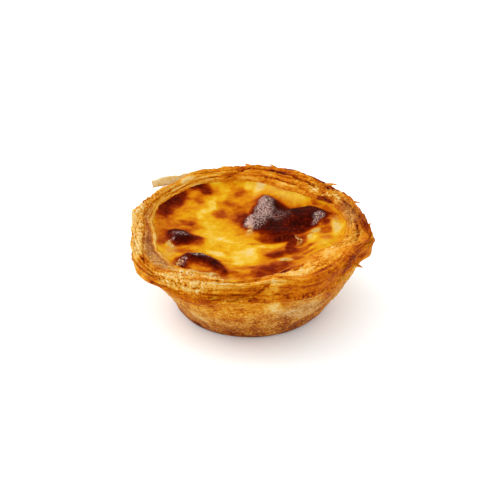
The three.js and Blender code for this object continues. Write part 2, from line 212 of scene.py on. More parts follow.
# Patches of that tone: azimuth and half span, place and half span, tone.
PASTRY_TONES = (
    (178, 26, 1.2, 0.2, 0.38),
    (182, 28, 0.85, 0.3, 0.18),
    (174, 16, 1.6, 0.2, 0.46),
    (198, 17, 1.66, 0.17, 0.62),
    (186, 26, 1.95, 0.08, 0.16),
    (-146, 12, 1.4, 0.4, 0.42),
    (-117, 14, 1.4, 0.55, 0.26),
    (-157, 5, 0.65, 0.5, 0.2),
    (-148, 4, 0.9, 0.25, 0.66),
    (-143, 4, 0.5, 0.2, 0.72),
    (-124, 17, 0.58, 0.26, 0.22),
    (-124, 17, 0.1, 0.13, 0.6),
    (-129, 7, 0.36, 0.18, 0.3),
    (-108, 10, 1.25, 0.2, 0.46),
    (-98, 15, 0.5, 0.4, 0.52),
    (-114, 9, 0.86, 0.14, 0.4),
    (-100, 10, 0.75, 0.12, 0.32),
    (-98, 16, 0.95, 0.07, 0.12),
    (-96, 9, 0.32, 0.12, 0.62),
    (-95, 7, 0.08, 0.1, 0.38),
    (-109, 7, 0.13, 0.12, 0.72),
    (-87, 2.5, 0.1, 0.1, 0.72),
    (-62, 18, 1.5, 0.35, 0.24),
    (-75, 16, 1.82, 0.22, 0.82),
    (-30, 14, 1.85, 0.15, 0.44),
    (-36, 12, 1.55, 0.3, 0.32),
    (-48, 9, 1.3, 0.08, 0.5),
    (-46, 11, 1.07, 0.06, 0.68),
    (-58, 22, 0.55, 0.42, 0.62),
    (-69, 5, 0.5, 0.2, 0.6),
    (-76, 6, 0.76, 0.18, 0.28),
    (-60, 16, 0.08, 0.1, 0.64),
    (-80, 3.5, 0.45, 0.15, 0.36),
    (-79, 4, 0.05, 0.16, 0.46),
    (-80, 1.8, 0.85, 0.2, 0.24),
    (-89, 4, 0.47, 0.14, 0.68),
    (-12, 16, 1.0, 0.26, 0.72),
    (-2, 16, 0.7, 0.35, 0.68),
    (-34, 7, 0.4, 0.36, 0.8),
    (-26, 4, 0.5, 0.4, 0.7),
    (-17, 6, 0.5, 0.5, 0.6),
    (-16, 14, 1.6, 0.34, 0.42),
    (2, 16, 1.18, 0.12, 0.66),
    (0, 6, 1.4, 0.16, 0.66),
    (-8, 5, 1.22, 0.07, 0.4),
    (10, 8, 1.7, 0.3, 0.46),
    (14, 5, 1.4, 0.1, 0.6),
    (24, 6, 1.55, 0.3, 0.6),
    (32, 6, 1.6, 0.35, 0.22),
    (40, 12, 1.15, 0.2, 0.34),
    (35, 5, 1.85, 0.22, 0.8),
    (48, 4, 1.4, 0.25, 0.28),
    (50, 18, 0.9, 0.14, 0.86),
    (58, 20, 1.12, 0.12, 0.62),
    (62, 16, 1.34, 0.06, 0.72),
    (74, 20, 1.52, 0.12, 0.5),
    (70, 20, 1.72, 0.05, 0.68),
    (72, 22, 1.86, 0.09, 0.4),
    (82, 16, 1.26, 0.06, 0.72),
    (98, 30, 1.02, 0.12, 0.52),
    (132, 26, 0.9, 0.4, 0.4),
    (101, 5, 1.65, 0.3, 0.54),
    (114, 8, 1.35, 0.25, 0.3),
    (126, 4, 1.3, 0.4, 0.08),
    (142, 10, 1.3, 0.3, 0.42),
    (128, 20, 1.62, 0.08, 0.22),
    (128, 22, 1.78, 0.06, 0.6),
    (134, 26, 1.92, 0.06, 0.3),
    (-104, 9, -0.22, 0.16, 0.46),
    (-56, 12, -0.34, 0.2, 0.3),
    (-60, 12, -0.76, 0.2, 0.74),
    (-40, 8, -0.3, 0.4, 0.56),
    (-90, 60, -0.97, 0.05, 0.72),
)
# How far the layers stand apart, in the same terms: flat sheets at the front right, loose layers at the back.
LAYERING = 0.5
LAYERED = (
    (-52, 30, 0.6, 0.6, 0.12),
    (-50, 28, 1.5, 0.5, 0.15),
    (-94, 14, 0.4, 0.5, 0.5),
    (-122, 16, 0.6, 0.5, 0.2),
    (-150, 12, 0.5, 0.6, 0.6),
    (180, 30, 0.9, 0.5, 0.24),
    (186, 30, 1.65, 0.26, 0.06),
    (-130, 18, 1.4, 0.4, 0.1),
    (100, 44, 1.2, 0.4, 0.6),
    (48, 18, 1.1, 0.7, 0.9),
    (2, 14, 1.2, 0.6, 0.5),
)
# Where the pastry has broken up into crumbs, in the same terms, from 0 to about 1.
CRUMBLY = (
    (-123, 18, 0.55, 0.3, 1.0),
    (-100, 10, 0.15, 0.15, 0.5),
    (8, 14, 1.5, 0.4, 0.8),
    (39, 16, 1.35, 0.5, 0.7),
    (-56, 22, 1.5, 0.35, 0.6),
    (72, 14, 1.0, 0.2, 0.35),
    (176, 30, 0.95, 0.75, 1.0),
    (-60, 30, 0.05, 0.12, 0.6),
    (-20, 16, 1.6, 0.5, 0.6),
    (-34, 9, 0.4, 0.4, 0.4),
    (-46, 10, 1.1, 0.12, 0.5),
    (-78, 7, 0.1, 0.2, 0.4),
    (-118, 15, 1.35, 0.7, 1.0),
    (-60, 18, -0.75, 0.25, 1.2),
)
CRUMBLY_BY_PLACE = ((-1.0, -0.15, 0.0), (0.65, 0.65, 0.1))
CRUMB_RELIEF = 0.8
# Where the pastry is dull and pinkish brown: the wall, and where custard has soaked in, in the same terms.
DULL_BY_PLACE = ((-1.0, -0.5, -0.05), (0.4, 0.35, 0.0))
DULL = (
    (188, 20, 1.64, 0.18, 0.3),
    (-162, 12, 1.6, 0.25, 0.8),
    (-145, 14, 1.5, 0.4, 1.0),
    (-104, 14, -0.2, 0.18, 0.0),
    (-60, 16, -0.3, 0.25, 0.7),
    (12, 14, 1.5, 0.5, 0.7),
    (172, 12, 1.66, 0.16, 0.5),
)
# The rim's section laid out flat, and the streaks along it, which are longer than they are high.
MM_PER_DEGREE = 0.65
MM_PER_PLACE = 7.0
WALL_PER_PLACE = 6.0
STREAK = 4.0
# The wall between the shallow steps of its sheets, and how much its blisters and steps stand out.
WALL_STEP = 4.2
WALL_BLISTER_RISE = 0.6
WALL_STEP_RISE = 0.5

# ---------------------------------------------------------------- the scorched custard
CUSTARD_STEPS = 448
CUSTARD_ROWS = 120
# How dark the custard is baked by itself, in the halo of a blister and in the skirt of a fold.
CUSTARD_BAKE = 0.33
HALO_BAKE = 0.66
SKIRT_BAKE = 0.7
# Shares of a fold's length at which its bake is given, and the rise of dry skin.
FOLD_SHARES = (0.1, 0.45, 1.0)
DRY_RISE = 0.3
# Outlines of the blisters: x and y of the corners.
PLATE = (
    (-2.8, 4.6), (-1.4, 9.6), (0.4, 14.0), (2.4, 18.0), (4.6, 20.4), (6.6, 20.4), (9.4, 18.6), (11.4, 16.8),
    (13.7, 15.2), (17.6, 15.2), (20.2, 15.0), (23.2, 12.2), (25.4, 10.0), (23.8, 6.8), (21.0, 3.4),
    (16.2, -0.6), (14.8, -2.6), (11.8, -3.8), (8.1, -3.6), (5.0, -3.0), (2.6, -1.6), (0.2, -1.2),
    (-1.4, 1.4),
)
LEFT_BUMP = (
    (-26.2, -3.4), (-25.6, -0.6), (-23.4, 0.8), (-20.8, 0.8), (-18.8, -0.6), (-17.8, -3.2), (-18.2, -6.2),
    (-20.0, -7.8), (-23.0, -7.8), (-25.6, -6.2),
)
EDGE_CHAR = (
    (-30.4, 10.5), (-30.2, 16.0), (-28.4, 20.2), (-25.0, 23.6), (-21.8, 24.8), (-21.0, 20.8), (-22.4, 16.6),
    (-25.2, 13.6), (-27.4, 10.0),
)
BACK_CHAR = (
    (-21.0, 26.4), (-18.8, 29.6), (-16.2, 30.8), (-14.4, 29.2), (-13.4, 26.0), (-13.4, 23.6), (-15.4, 23.8),
    (-17.0, 25.2), (-19.2, 25.2),
)
FRONT_CHAR = (
    (0.6, -22.6), (2.8, -21.4), (5.6, -21.2), (8.6, -20.0), (11.8, -20.0), (11.6, -22.6), (9.2, -24.8),
    (7.0, -27.2), (3.8, -28.4), (1.4, -26.0),
)
RIGHT_STREAK = (
    (4.6, -15.6), (7.0, -13.4), (9.8, -12.5), (11.6, -10.0), (14.2, -9.2), (15.6, -11.6), (13.5, -13.8),
    (10.1, -15.6), (7.0, -16.8),
)
# Blisters: outline, rise at its edge and in its middle, width of the edge, bake in the middle, halo round it.
BLISTERS = (
    (PLATE, 0.7, 0.7, 1.5, 0.95, 2.2),
    (LEFT_BUMP, 0.8, 0.6, 1.6, 0.97, 2.0),
    (EDGE_CHAR, 0.3, 0.2, 2.4, 0.86, 1.8),
    (BACK_CHAR, 0.3, 0.2, 2.4, 0.84, 1.4),
    (FRONT_CHAR, 0.3, 0.2, 2.6, 0.74, 1.8),
    (RIGHT_STREAK, 0.2, 0.2, 2.4, 0.78, 1.6),
)
# Raised folds of skin: points along the crest, half width, rise, bake at start, middle and end, dark skirt.
SKIN_FOLDS = (
    (((-21.0, -21.0), (-20.6, -18.4), (-18.9, -16.4), (-16.4, -15.8), (-14.0, -16.8), (-11.6, -18.9),
      (-9.6, -21.4), (-7.6, -24.2)), 1.8, 1.5, (0.8, 0.98, 0.88), 1.6),
    (((13.2, -3.4), (14.2, -5.6), (15.4, -8.2)), 0.8, 0.6, (0.9, 0.8, 0.6), 1.0),
)
# Soft rises and hollows of the skin: x, y, half length, half width, turn, rise.
SKIN_LUMPS = (
    (3.6, 10.5, 14.0, 3.6, 80, 1.5),
    (10.5, 12.5, 6.0, 2.2, 60, -0.5),
    (18.5, 9.0, 7.0, 4.5, 20, 1.2),
    (8.5, -2.0, 6.0, 3.0, 0, 0.8),
    (-21.8, -3.6, 3.6, 3.2, 0, 0.5),
    (-27.0, 17.0, 6.0, 2.5, 60, 0.4),
    (-17.0, 27.0, 5.0, 3.0, -50, 0.4),
    (15.5, 22.0, 9.0, 3.0, -40, 0.6),
    (6.0, -23.0, 6.0, 3.0, 0, 0.5),
    (12.0, -12.5, 5.0, 2.0, 20, 0.5),
    (23.5, -7.0, 6.0, 2.0, 60, 0.4),
    (26.0, 4.0, 4.0, 2.0, 80, 0.5),
    (-17.4, -24.6, 2.0, 1.0, -20, 0.5),
    (-12.4, -26.0, 2.4, 1.0, -10, 0.6),
    (-5.6, -25.0, 3.0, 0.9, 0, 0.5),
    (12.0, 22.0, 6.0, 2.4, -44, 0.6),
)
# Soft patches of tone, wide ones first: x, y, half length and half width, turn in degrees, bake; the palest,
# near 0, are painted highlights on the glossy skin.
CUSTARD_BAKE_AND_HIGHLIGHTS = (
    (-27.0, 4.0, 11.0, 3.4, 86, 0.48),
    (-5.5, 20.0, 15.0, 5.0, 88, 0.36),
    (-13.0, 9.0, 15.0, 3.8, 103, 0.22),
    (-8.0, -5.5, 12.0, 5.5, -38, 0.19),
    (-18.5, -9.5, 7.0, 2.4, -20, 0.28),
    (-1.6, -14.5, 5.2, 4.0, -30, 0.12),
    (22.0, -6.0, 9.0, 4.5, 60, 0.26),
    (14.0, 23.0, 10.0, 4.0, -40, 0.24),
    (0.5, 30.0, 4.5, 2.0, 70, 0.14),
    (-26.5, -13.0, 5.0, 1.8, 76, 0.26),
    (-19.0, 15.0, 7.0, 2.2, 70, 0.34),
    (-16.6, 20.0, 3.6, 2.0, 90, 0.5),
    (-12.4, 17.0, 4.6, 1.3, 80, 0.1),
    (-8.6, 25.0, 5.0, 1.8, 84, 0.22),
    (-15.6, 11.0, 2.6, 1.6, 80, 0.12),
    (-14.0, -2.0, 5.0, 2.0, -40, 0.1),
    (-3.6, -10.0, 3.0, 2.0, -20, 0.22),
    (1.0, -12.0, 2.0, 1.8, 0, 0.02),
    (-2.4, -18.4, 4.0, 1.3, 0, 0.08),
    (-6.8, -4.2, 4.0, 1.0, -30, 0.08),
    (-10.6, -12.6, 4.0, 1.4, -30, 0.02),
    (-7.4, 31.2, 1.8, 1.6, 90, 0.48),
    (-3.0, 25.0, 2.6, 1.7, 84, 0.5),
    (-3.0, 25.4, 1.5, 0.9, 84, 0.58),
    (4.6, -4.4, 2.4, 1.4, 0, 0.66),
    (10.4, -4.6, 4.6, 1.6, 0, 0.84),
    (-6.2, 18.0, 2.6, 2.0, 80, 0.54),
    (-9.2, 11.4, 3.0, 2.5, 90, 0.6),
    (-4.4, 13.0, 4.6, 1.8, 76, 0.54),
    (-20.4, 6.0, 2.8, 1.7, -40, 0.64),
    (-24.0, 3.0, 2.6, 1.6, 60, 0.5),
    (-20.6, 1.4, 4.6, 1.8, 20, 0.48),
    (-2.6, 9.4, 4.4, 1.9, 80, 0.78),
    (-27.4, -5.5, 3.6, 1.7, 80, 0.52),
    (-17.4, -4.4, 3.2, 2.3, -60, 0.72),
    (-21.0, -7.6, 3.6, 1.5, 10, 0.66),
    (-25.2, -9.0, 2.4, 1.2, 80, 0.3),
    (-24.6, -13.4, 3.0, 1.6, 70, 0.34),
    (-20.6, -12.0, 3.4, 1.6, 10, 0.52),
    (-16.2, -19.6, 4.2, 1.8, -40, 0.68),
    (-19.4, -21.2, 2.2, 1.5, 80, 0.66),
    (-14.0, -23.0, 4.6, 2.0, -24, 0.46),
    (-11.4, -24.6, 3.0, 1.4, 0, 0.58),
    (-8.0, -27.2, 3.6, 1.6, 0, 0.54),
    (-3.4, -27.0, 3.4, 2.0, 0, 0.46),
    (-5.4, -25.0, 3.0, 0.9, 0, 0.64),
    (-3.4, -22.4, 4.6, 1.6, 10, 0.42),
    (4.8, -7.4, 5.0, 1.2, 0, 0.42),
    (5.0, -12.4, 3.0, 1.6, 0, 0.36),
    (8.4, -12.0, 2.6, 1.5, 20, 0.54),
    (13.0, -11.4, 2.6, 1.6, 30, 0.88),
    (13.0, -8.0, 3.4, 2.2, 80, 0.8),
    (16.6, -5.4, 3.2, 1.4, 84, 0.62),
    (17.8, -10.4, 3.4, 1.4, 40, 0.52),
    (14.6, -16.4, 3.4, 1.1, 30, 0.56),
    (18.0, -14.0, 3.6, 0.7, 35, 0.52),
    (6.0, -8.0, 4.0, 1.5, 10, 0.1),
    (12.2, -8.4, 2.0, 1.4, 80, 0.82),
    (3.0, -27.6, 2.4, 1.2, 0, 0.6),
    (8.4, -17.8, 3.6, 0.8, 12, 0.1),
    (10.8, -18.2, 2.2, 0.8, 20, 0.02),
    (-25.2, -7.4, 1.6, 0.8, 70, 0.04),
    (19.6, -3.4, 3.8, 1.6, 70, 0.08),
    (24.4, -4.0, 2.4, 1.6, 20, 0.5),
    (24.2, 0.6, 2.4, 1.8, 30, 0.6),
    (24.6, 4.6, 2.0, 1.6, 70, 0.74),
    (27.6, 2.0, 4.0, 1.5, 84, 0.02),
    (20.4, 0.2, 1.6, 1.2, 40, 0.02),
    (18.6, -1.6, 1.4, 0.8, 40, 0.5),
    (10.0, 24.0, 4.0, 1.6, -44, 0.24),
    (14.4, 20.6, 5.0, 2.2, -44, 0.16),
    (3.8, 27.4, 4.4, 2.0, 60, 0.02),
    (23.4, 14.6, 6.0, 1.0, -50, 0.48),
    (26.6, 9.0, 2.4, 1.2, -70, 0.52),
    (9.4, 26.6, 4.6, 0.6, -40, 0.4),
    (15.8, 23.6, 4.0, 0.5, -46, 0.5),
)
# Painted sheen of the key light: where the char faces it, grey with pale glints instead of maroon: x, y, half
# length, half width, turn, strength.
CHAR_SHEEN = (
    (3.5, 9.4, 9.6, 3.0, 77, 0.4),
    (3.0, 16.4, 3.4, 1.5, 76, 0.3),
    (-0.8, 0.6, 3.6, 1.7, 75, 0.7),
    (8.6, 9.4, 4.6, 3.8, 0, 0.16),
    (21.6, 5.6, 3.2, 1.7, 62, 0.5),
    (22.0, 3.4, 1.6, 0.9, 30, 0.4),
    (-22.0, -3.4, 2.8, 1.2, -20, 0.2),
    (-25.2, -6.2, 1.8, 0.8, 60, 0.4),
    (-16.0, -15.8, 4.4, 1.0, -14, 0.22),
    (-21.0, -19.8, 2.4, 1.3, 80, 0.4),
    (7.0, -20.6, 2.6, 0.8, 0, 0.2),
)
# Dry skin, tan and above 0.5 broken into cream and pinkish crumbs, with painted glints among the
# pinkish-white ones, in the same terms.
DRY_SKIN_AND_GLINTS = (
    (14.8, -6.2, 2.4, 0.9, -65, 1.0),
    (11.2, -18.1, 2.2, 0.9, 25, 1.0),
    (18.6, -3.6, 3.0, 1.0, 75, 0.6),
    (20.6, 0.2, 1.8, 1.2, 40, 0.8),
    (27.4, 2.2, 4.4, 1.8, 84, 0.5),
    (27.6, 7.6, 2.0, 1.2, 84, 0.4),
    (23.0, -7.0, 4.0, 1.6, 60, 0.3),
    (-24.8, -7.8, 2.8, 1.0, -66, 0.9),
    (-24.8, -13.0, 4.6, 1.8, 70, 0.5),
    (-22.0, -20.2, 2.4, 1.2, 80, 0.9),
    (-17.4, -25.4, 3.0, 1.6, -20, 0.9),
    (-12.0, -26.8, 3.2, 1.4, -10, 0.9),
    (-7.0, -28.4, 3.2, 0.9, 0, 0.4),
    (-0.2, -0.2, 2.4, 1.4, 80, 0.8),
    (3.2, 24.6, 3.4, 1.8, 60, 0.4),
    (10.0, 24.4, 9.0, 2.8, -42, 0.4),
    (3.4, 29.6, 3.4, 2.0, 60, 0.3),
)

# ---------------------------------------------------------------- loose pastry
# The peeled strip: where it is rooted, where it points and how it is rolled, in degrees, and its sizes.
STRIP = dict(
    at=112, reach=37.6, height=27.4, heading=205.5, roll=90 + math.degrees(0.5),
    length=20.5, width=1.9, thick=0.4, bow=1.4,
)
# The larger flakes: azimuth, height, length, width, lean and turn.
FLAKES = (
    (88, 27.9, 3.0, 2.2, 12, 54),
    (74, 27.8, 3.4, 2.4, 12, 56),
    (61, 27.6, 3.0, 2.6, 8, 54),
    (47, 27.4, 3.2, 2.8, 6, -52),
    (26, 27.0, 3.2, 2.2, 6, -46),
    (-2, 25.8, 3.0, 2.0, 12, 50),
    (-30, 23.4, 2.4, 2.4, -6, 10),
    (-44, 23.0, 2.6, 2.6, -10, 52),
    (-147, 21.9, 2.2, 2.8, -8, -50),
)
FLAKE_ROOT = 1.6
LEAF_COUNT = 70
LEAF_ROOT = 0.9
# Least and most of a leaf's span in degrees, of how far it stands out and of its thickness, and its curl.
LEAF_SPAN = (5, 22)
LEAF_PROUD = (0.15, 0.75)
LEAF_THICKNESS = (0.14, 0.26)
LEAF_CURL = 0.5
CRUMB_COUNT = 420
# Least and most of a crumb's length and of its width as a share of that, and its tilt.
CRUMB_SIZE = (0.35, 1.1)
CRUMB_NARROWNESS = (0.3, 0.8)
CRUMB_TILT = 0.5
# Where single crumbs lie: azimuth and spread, place and spread, and their share of the crumbs.
CRUMB_PATCHES = (
    (-128, 16, 1.15, 0.3, 5),
    (-8, 20, 1.3, 0.35, 5),
    (44, 16, 1.25, 0.4, 5),
    (75, 20, 1.0, 0.3, 2),
    (-95, 20, 1.0, 0.35, 1),
    (178, 24, 0.8, 0.4, 2),
    (-45, 16, 0.6, 0.35, 2),
)


# ---------------------------------------------------------------- sums that every surface uses
def smooth(t):
    t = np.clip(t, 0, 1)
    return t * t * (3 - 2 * t)


def lerp(a, b, t):
    return a + (b - a) * t


def soft_oval(along, across):
    """1 in the middle of a soft oval patch, half at its edge, fading to 0 outside it."""
    return smooth(1.5 - np.hypot(along, across))


def degrees_off(azimuth, at):
    """Degrees from an azimuth, from -180 to 180."""
    return (azimuth - at + 180) % 360 - 180


def bell(azimuth, at, spread):
    """1 at an azimuth, fading over its spread, both in degrees."""
    return np.exp(-0.5 * (degrees_off(azimuth, at) / spread) ** 2)


def swell(azimuth, swells, way):
    return sum(row[way] * bell(azimuth, row[0], row[1]) for row in swells)


def waves(azimuth, rows):
    return sum(size * np.sin(turns * np.radians(azimuth) + phase) for turns, size, phase in rows)


def hashed(cell, seed):
    """A repeatable number from -1 to 1 for each cell of a lattice."""
    h = cell[..., 0] * 374761393 + cell[..., 1] * 668265263 + cell[..., 2] * 974634777 + seed * 1274126177
    h = h & 0xFFFFFFFF
    h = ((h ^ (h >> 13)) * 1274126177) & 0xFFFFFFFF
    return ((h ^ (h >> 16)) & 0xFFFF) / 32767.5 - 1


def cloud(points, size, seed):
    """Smooth noise from -1 to 1, with lumps of the given size."""
    scaled = np.asarray(points) / size
    cell = np.floor(scaled).astype(np.int64)
    share = smooth(scaled - cell)
    total = 0
    for corner in np.ndindex(2, 2, 2):
        weight = np.prod(np.where(corner, share, 1 - share), axis=-1)
        total = total + weight * hashed(cell + np.array(corner), seed)
    return total


def noise(points, use):
    """Noise for one of the uses in the table, each octave half as large and as strong as the one before."""
    amount, size, seed, octaves = NOISES[use]
    return amount * sum(0.5 ** k * cloud(points, size / 2 ** k, seed + 31 * k) for k in range(octaves))


def upright(azimuth, reach, height):
    """Points by azimuth in degrees, reach from the axis and height."""
    turn = np.radians(azimuth)
    return np.stack([reach * np.cos(turn), reach * np.sin(turn), height + 0 * turn], axis=-1)


def on_ring(azimuth, level=0, reach=NOISE_REACH):
    """Points round a circle, for noise that runs along the rim; each level has its own noise."""
    return upright(azimuth, reach, NOISE_LEVEL * level)


def off_line(x, y, ax, ay, bx, by):
    """Distance from a line, and the share of its length at the nearest point."""
    along = np.clip(((x - ax) * (bx - ax) + (y - ay) * (by - ay)) / ((bx - ax) ** 2 + (by - ay) ** 2), 0, 1)
    return np.hypot(x - ax - along * (bx - ax), y - ay - along * (by - ay)), along


def off_path(x, y, path):
    """Distance from a path through several points, and the share of the path at the nearest one."""
    nearest, share = np.full(x.shape, 1e9), np.zeros(x.shape)
    for number, ((ax, ay), (bx, by)) in enumerate(zip(path, path[1:])):
        distance, along = off_line(x, y, ax, ay, bx, by)
        closer = distance < nearest
        nearest = np.where(closer, distance, nearest)
        share = np.where(closer, (number + along) / (len(path) - 1), share)
    return nearest, share


# ---------------------------------------------------------------- the form of the case
def rim_reach(azimuth):
    return RIM_REACH + swell(azimuth, RIM_SWELLS, 2) + waves(azimuth, RIM_WAVES)


def base_reach(azimuth):
    return BASE_REACH + swell(azimuth, BASE_SWELLS, 2)


def crest_height(azimuth):
    return CREST_HEIGHT + swell(azimuth, RIM_SWELLS, 3) + waves(azimuth, CREST_WAVES)


def lip_reach(azimuth):
    return LIP_REACH + swell(azimuth, RIM_SWELLS, 2) + swell(azimuth, LIP_SWELLS, 2)


def lip_height(azimuth):
    return LIP_HEIGHT + swell(azimuth, LIP_SWELLS, 3) + waves(azimuth, CREST_WAVES)


def custard_edge(azimuth):
    """Reach and height of the line where the custard meets the pastry."""
    reach = CUSTARD_EDGE_REACH + swell(azimuth, CUSTARD_EDGE_SWELLS, 2) + waves(azimuth, CUSTARD_WAVES)
    reach = reach + noise(on_ring(azimuth, 3, CUSTARD_EDGE_REACH), "custard edge")
    return reach, CUSTARD_EDGE_HEIGHT + swell(azimuth, CUSTARD_EDGE_SWELLS, 3)


def rim_path(azimuth, place):
    """Reach, height and facing angle of the rim from the lip (0) over the crest (1) to the custard (2)."""
    edge_reach, edge_height = custard_edge(azimuth)
    out, over = np.clip(place, 0, 1), np.clip(place - 1, 0, 1)
    crest = crest_height(azimuth)
    low = lip_height(azimuth)
    reach = lerp(lip_reach(azimuth), rim_reach(azimuth), smooth(out / 0.6))
    reach = reach - CREST_SETBACK * np.clip((out - 0.5) / 0.5, 0, 1) ** 2.2
    height = low + (crest - low) * np.sin(0.5 * math.pi * out ** 0.95)
    reach = lerp(reach, edge_reach + INNER_LIP, over)
    height = lerp(height, edge_height + INNER_LIP, over ** 1.5)
    facing = np.radians(lerp(lerp(LIP_FACING, CREST_FACING, out ** 1.5), EDGE_FACING, over))
    return reach, height, facing


def painted(value, azimuth, place, patches):
    """Pulls a value over the rim to those of its patches."""
    for at, half_span, where, half_height, target in patches:
        share = soft_oval(degrees_off(azimuth, at) / half_span, (place - where) / half_height)
        value = lerp(value, target, share)
    return value


def grooved(azimuth, place):
    """How deep the grooves and how proud the overlaps are at a place on the rim."""
    drop = 0
    for line, deep, half in GROOVES:
        middle = line[len(line) // 2][0]
        path = [((at - middle) * MM_PER_DEGREE, where * MM_PER_PLACE) for at, where in line]
        round_it = degrees_off(azimuth, middle) * MM_PER_DEGREE
        away, share = off_path(round_it, place * MM_PER_PLACE + 0 * round_it, path)
        ends = smooth(share / 0.15) * smooth((1 - share) / 0.15)
        drop = drop + deep * ends * np.exp(-((away / half) ** 2))
    lift = 0
    for at, slant, side, fade, height, where, near in OVERLAPS:
        past = side * degrees_off(azimuth, at + slant * (place - where))
        on = smooth(past / OVERLAP_EDGE + 0.5) * np.exp(-np.clip(past, 0, None) / fade)
        lift = lift + height * on * np.exp(-0.5 * ((place - where) / near) ** 2)
    return drop, lift


def stood_off(reach, height, facing, out, up=0):
    """Moves a point of the section outwards along its facing angle, and up along the surface."""
    return (reach + out * np.cos(facing) - up * np.sin(facing),
            height + out * np.sin(facing) + up * np.cos(facing))


def grain(azimuth, place):
    """Points in which even noise comes out as streaks that follow the rim and slant a little."""
    height = place * np.where(place < 0, WALL_PER_PLACE, MM_PER_PLACE)
    return upright(azimuth, NOISE_REACH / STREAK, height + noise(on_ring(azimuth), "streak slant"))


def layer_edge(azimuth, layer, layers, first):
    """Where the joint below a layer runs on the section: it wanders, so layers thicken and pinch out."""
    inner = (layer > 0) & (layer < layers)
    wander = noise(on_ring(azimuth, layer + first), "layer joint")
    return (layer + np.where(inner, wander, 0)) / layers


def ledge(azimuth, share, layer, stand, layers, first):
    """A point on one layer of the rim: its place on the section and how far it stands out of it."""
    low = layer_edge(azimuth, layer, layers, first)
    high = layer_edge(azimuth, layer + 1, layers, first)
    place = low + (high - low) * share
    ring = on_ring(azimuth, layer + first)
    proud = LAYER_PROUD + sum(noise(ring, use) for use in ("layer reach", "layer waves", "layer nicks"))
    proud = proud - CHIP_DEPTH * smooth((noise(ring, "layer chips") - 0.3) / 0.12)
    cut = LEAST_CUT + 0.6 * np.clip(noise(ring, "layer cuts") + 0.2, 0, None)
    return place, np.where(stand < 0, stand * cut, stand * proud)


def broken(at, azimuth, place):
    """Lumps of the hand-shaped rim with the crumbs where it has broken up, and the crumbs alone."""
    crumbs = np.abs(noise(at, "coarse crumbs")) + np.abs(noise(at, "fine crumbs")) - 0.5
    crumbs = crumbs * painted(0.0, azimuth, place, CRUMBLY)
    return noise(at, "rim lumps") + noise(at, "rim bumps") + CRUMB_RELIEF * crumbs, crumbs


def cavity_wall(azimuth, share):
    """Reach and height of the wall inside the case, from the custard's edge (0) down to the floor (1)."""
    edge_reach, edge_height = custard_edge(azimuth)
    height = lerp(edge_height, FLOOR_HEIGHT, share)
    up = np.clip((height - FLOOR_HEIGHT) / (SHOULDER_HEIGHT - FLOOR_HEIGHT), 0, 1)
    climb = np.clip((height - SHOULDER_HEIGHT) / (edge_height - SHOULDER_HEIGHT), 0, 1)
    return lerp(lerp(FLOOR_REACH, SHOULDER_REACH, up), edge_reach, smooth(climb)), height


def wall_point(azimuth, share):
    """The wall below the lip, with low blisters, shallow steps between sheets and a fine grain."""
    reach = lerp(base_reach(azimuth), WALL_TOP_REACH, share)
    reach = reach + (WALL_BELLY + swell(azimuth, WALL_SWELLS, 2)) * np.sin(math.pi * share)
    reach = reach + WALL_FOLLOW * share * swell(azimuth, RIM_SWELLS, 2)
    height = lerp(BASE_FILLET, lip_height(azimuth) - LIP_SLOPE, share)
    at = upright(azimuth, reach, height)
    steps = (height / WALL_STEP + noise(at, "wall steps")) % 1
    terrace = (smooth(steps / 0.14) - steps) * np.clip(noise(at, "wall step fade") + 0.5, 0, 1)
    blister = np.clip(noise(at, "wall blisters") - 0.1, 0, None)
    relief = WALL_BLISTER_RISE * blister + WALL_STEP_RISE * terrace
    relief = relief + noise(at, "wall bumps") + noise(at, "wall grain")
    return reach + relief * smooth(share / 0.06 + 0.25), height, relief


def case_tone(azimuth, place):
    """How dark the pastry is baked at a place on the section, from 0 (cream) to 1 (dark brown)."""
    ring = on_ring(azimuth, place / 5)
    azimuth = azimuth + noise(ring, "tone turn")
    place = place + noise(ring, "tone place")
    return painted(np.interp(place, *TONE_BY_PLACE), azimuth, place, PASTRY_TONES)


# ---------------------------------------------------------------- meshes
def write_points(mesh, points):
    mesh.vertices.foreach_set("co", (np.asarray(points) * MM).astype(np.float32).ravel())
    mesh.update()


def read_points(mesh):
    points = np.empty(3 * len(mesh.vertices), np.float32)
    mesh.vertices.foreach_get("co", points)
    return points.reshape(-1, 3).astype(float) / MM


def write_mark(mesh, name, values):
    """A number at each point of a mesh, for its material to read."""
    mark = mesh.attributes.new(name, "FLOAT", "POINT")
    mark.data.foreach_set("value", np.asarray(values, dtype=np.float32).ravel())


def write_grain(mesh, azimuth, place):
    mark = mesh.attributes.new("grain", "FLOAT_VECTOR", "POINT")
    mark.data.foreach_set("vector", (grain(azimuth, place) * MM).astype(np.float32).ravel())


def meshed(bm, name):
    mesh = bpy.data.meshes.new(name)
    bm.to_mesh(mesh)
    bm.free()
    return mesh


def placed(name, data):
    thing = bpy.data.objects.new(name, data)
    bpy.context.scene.collection.objects.link(thing)
    return thing


def finished(bm, name, material):
    """Turns a bmesh into a piece that rides on the tart."""
    mesh = meshed(bm, name)
    piece = placed(name, mesh)
    mesh.polygons.foreach_set("use_smooth", np.ones(len(mesh.polygons), dtype=bool))
    mesh.materials.append(material)
    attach(piece, "root")
    return piece


def loose_piece(bm, name, material, points, tone, relief, azimuth, place):
    """A piece of loose pastry with its points and marks."""
    piece = finished(bm, name, material)
    write_points(piece.data, points.reshape(-1, 3))
    write_mark(piece.data, "tone", tone)
    write_mark(piece.data, "relief", relief + 0 * tone)
    write_grain(piece.data, azimuth, place)


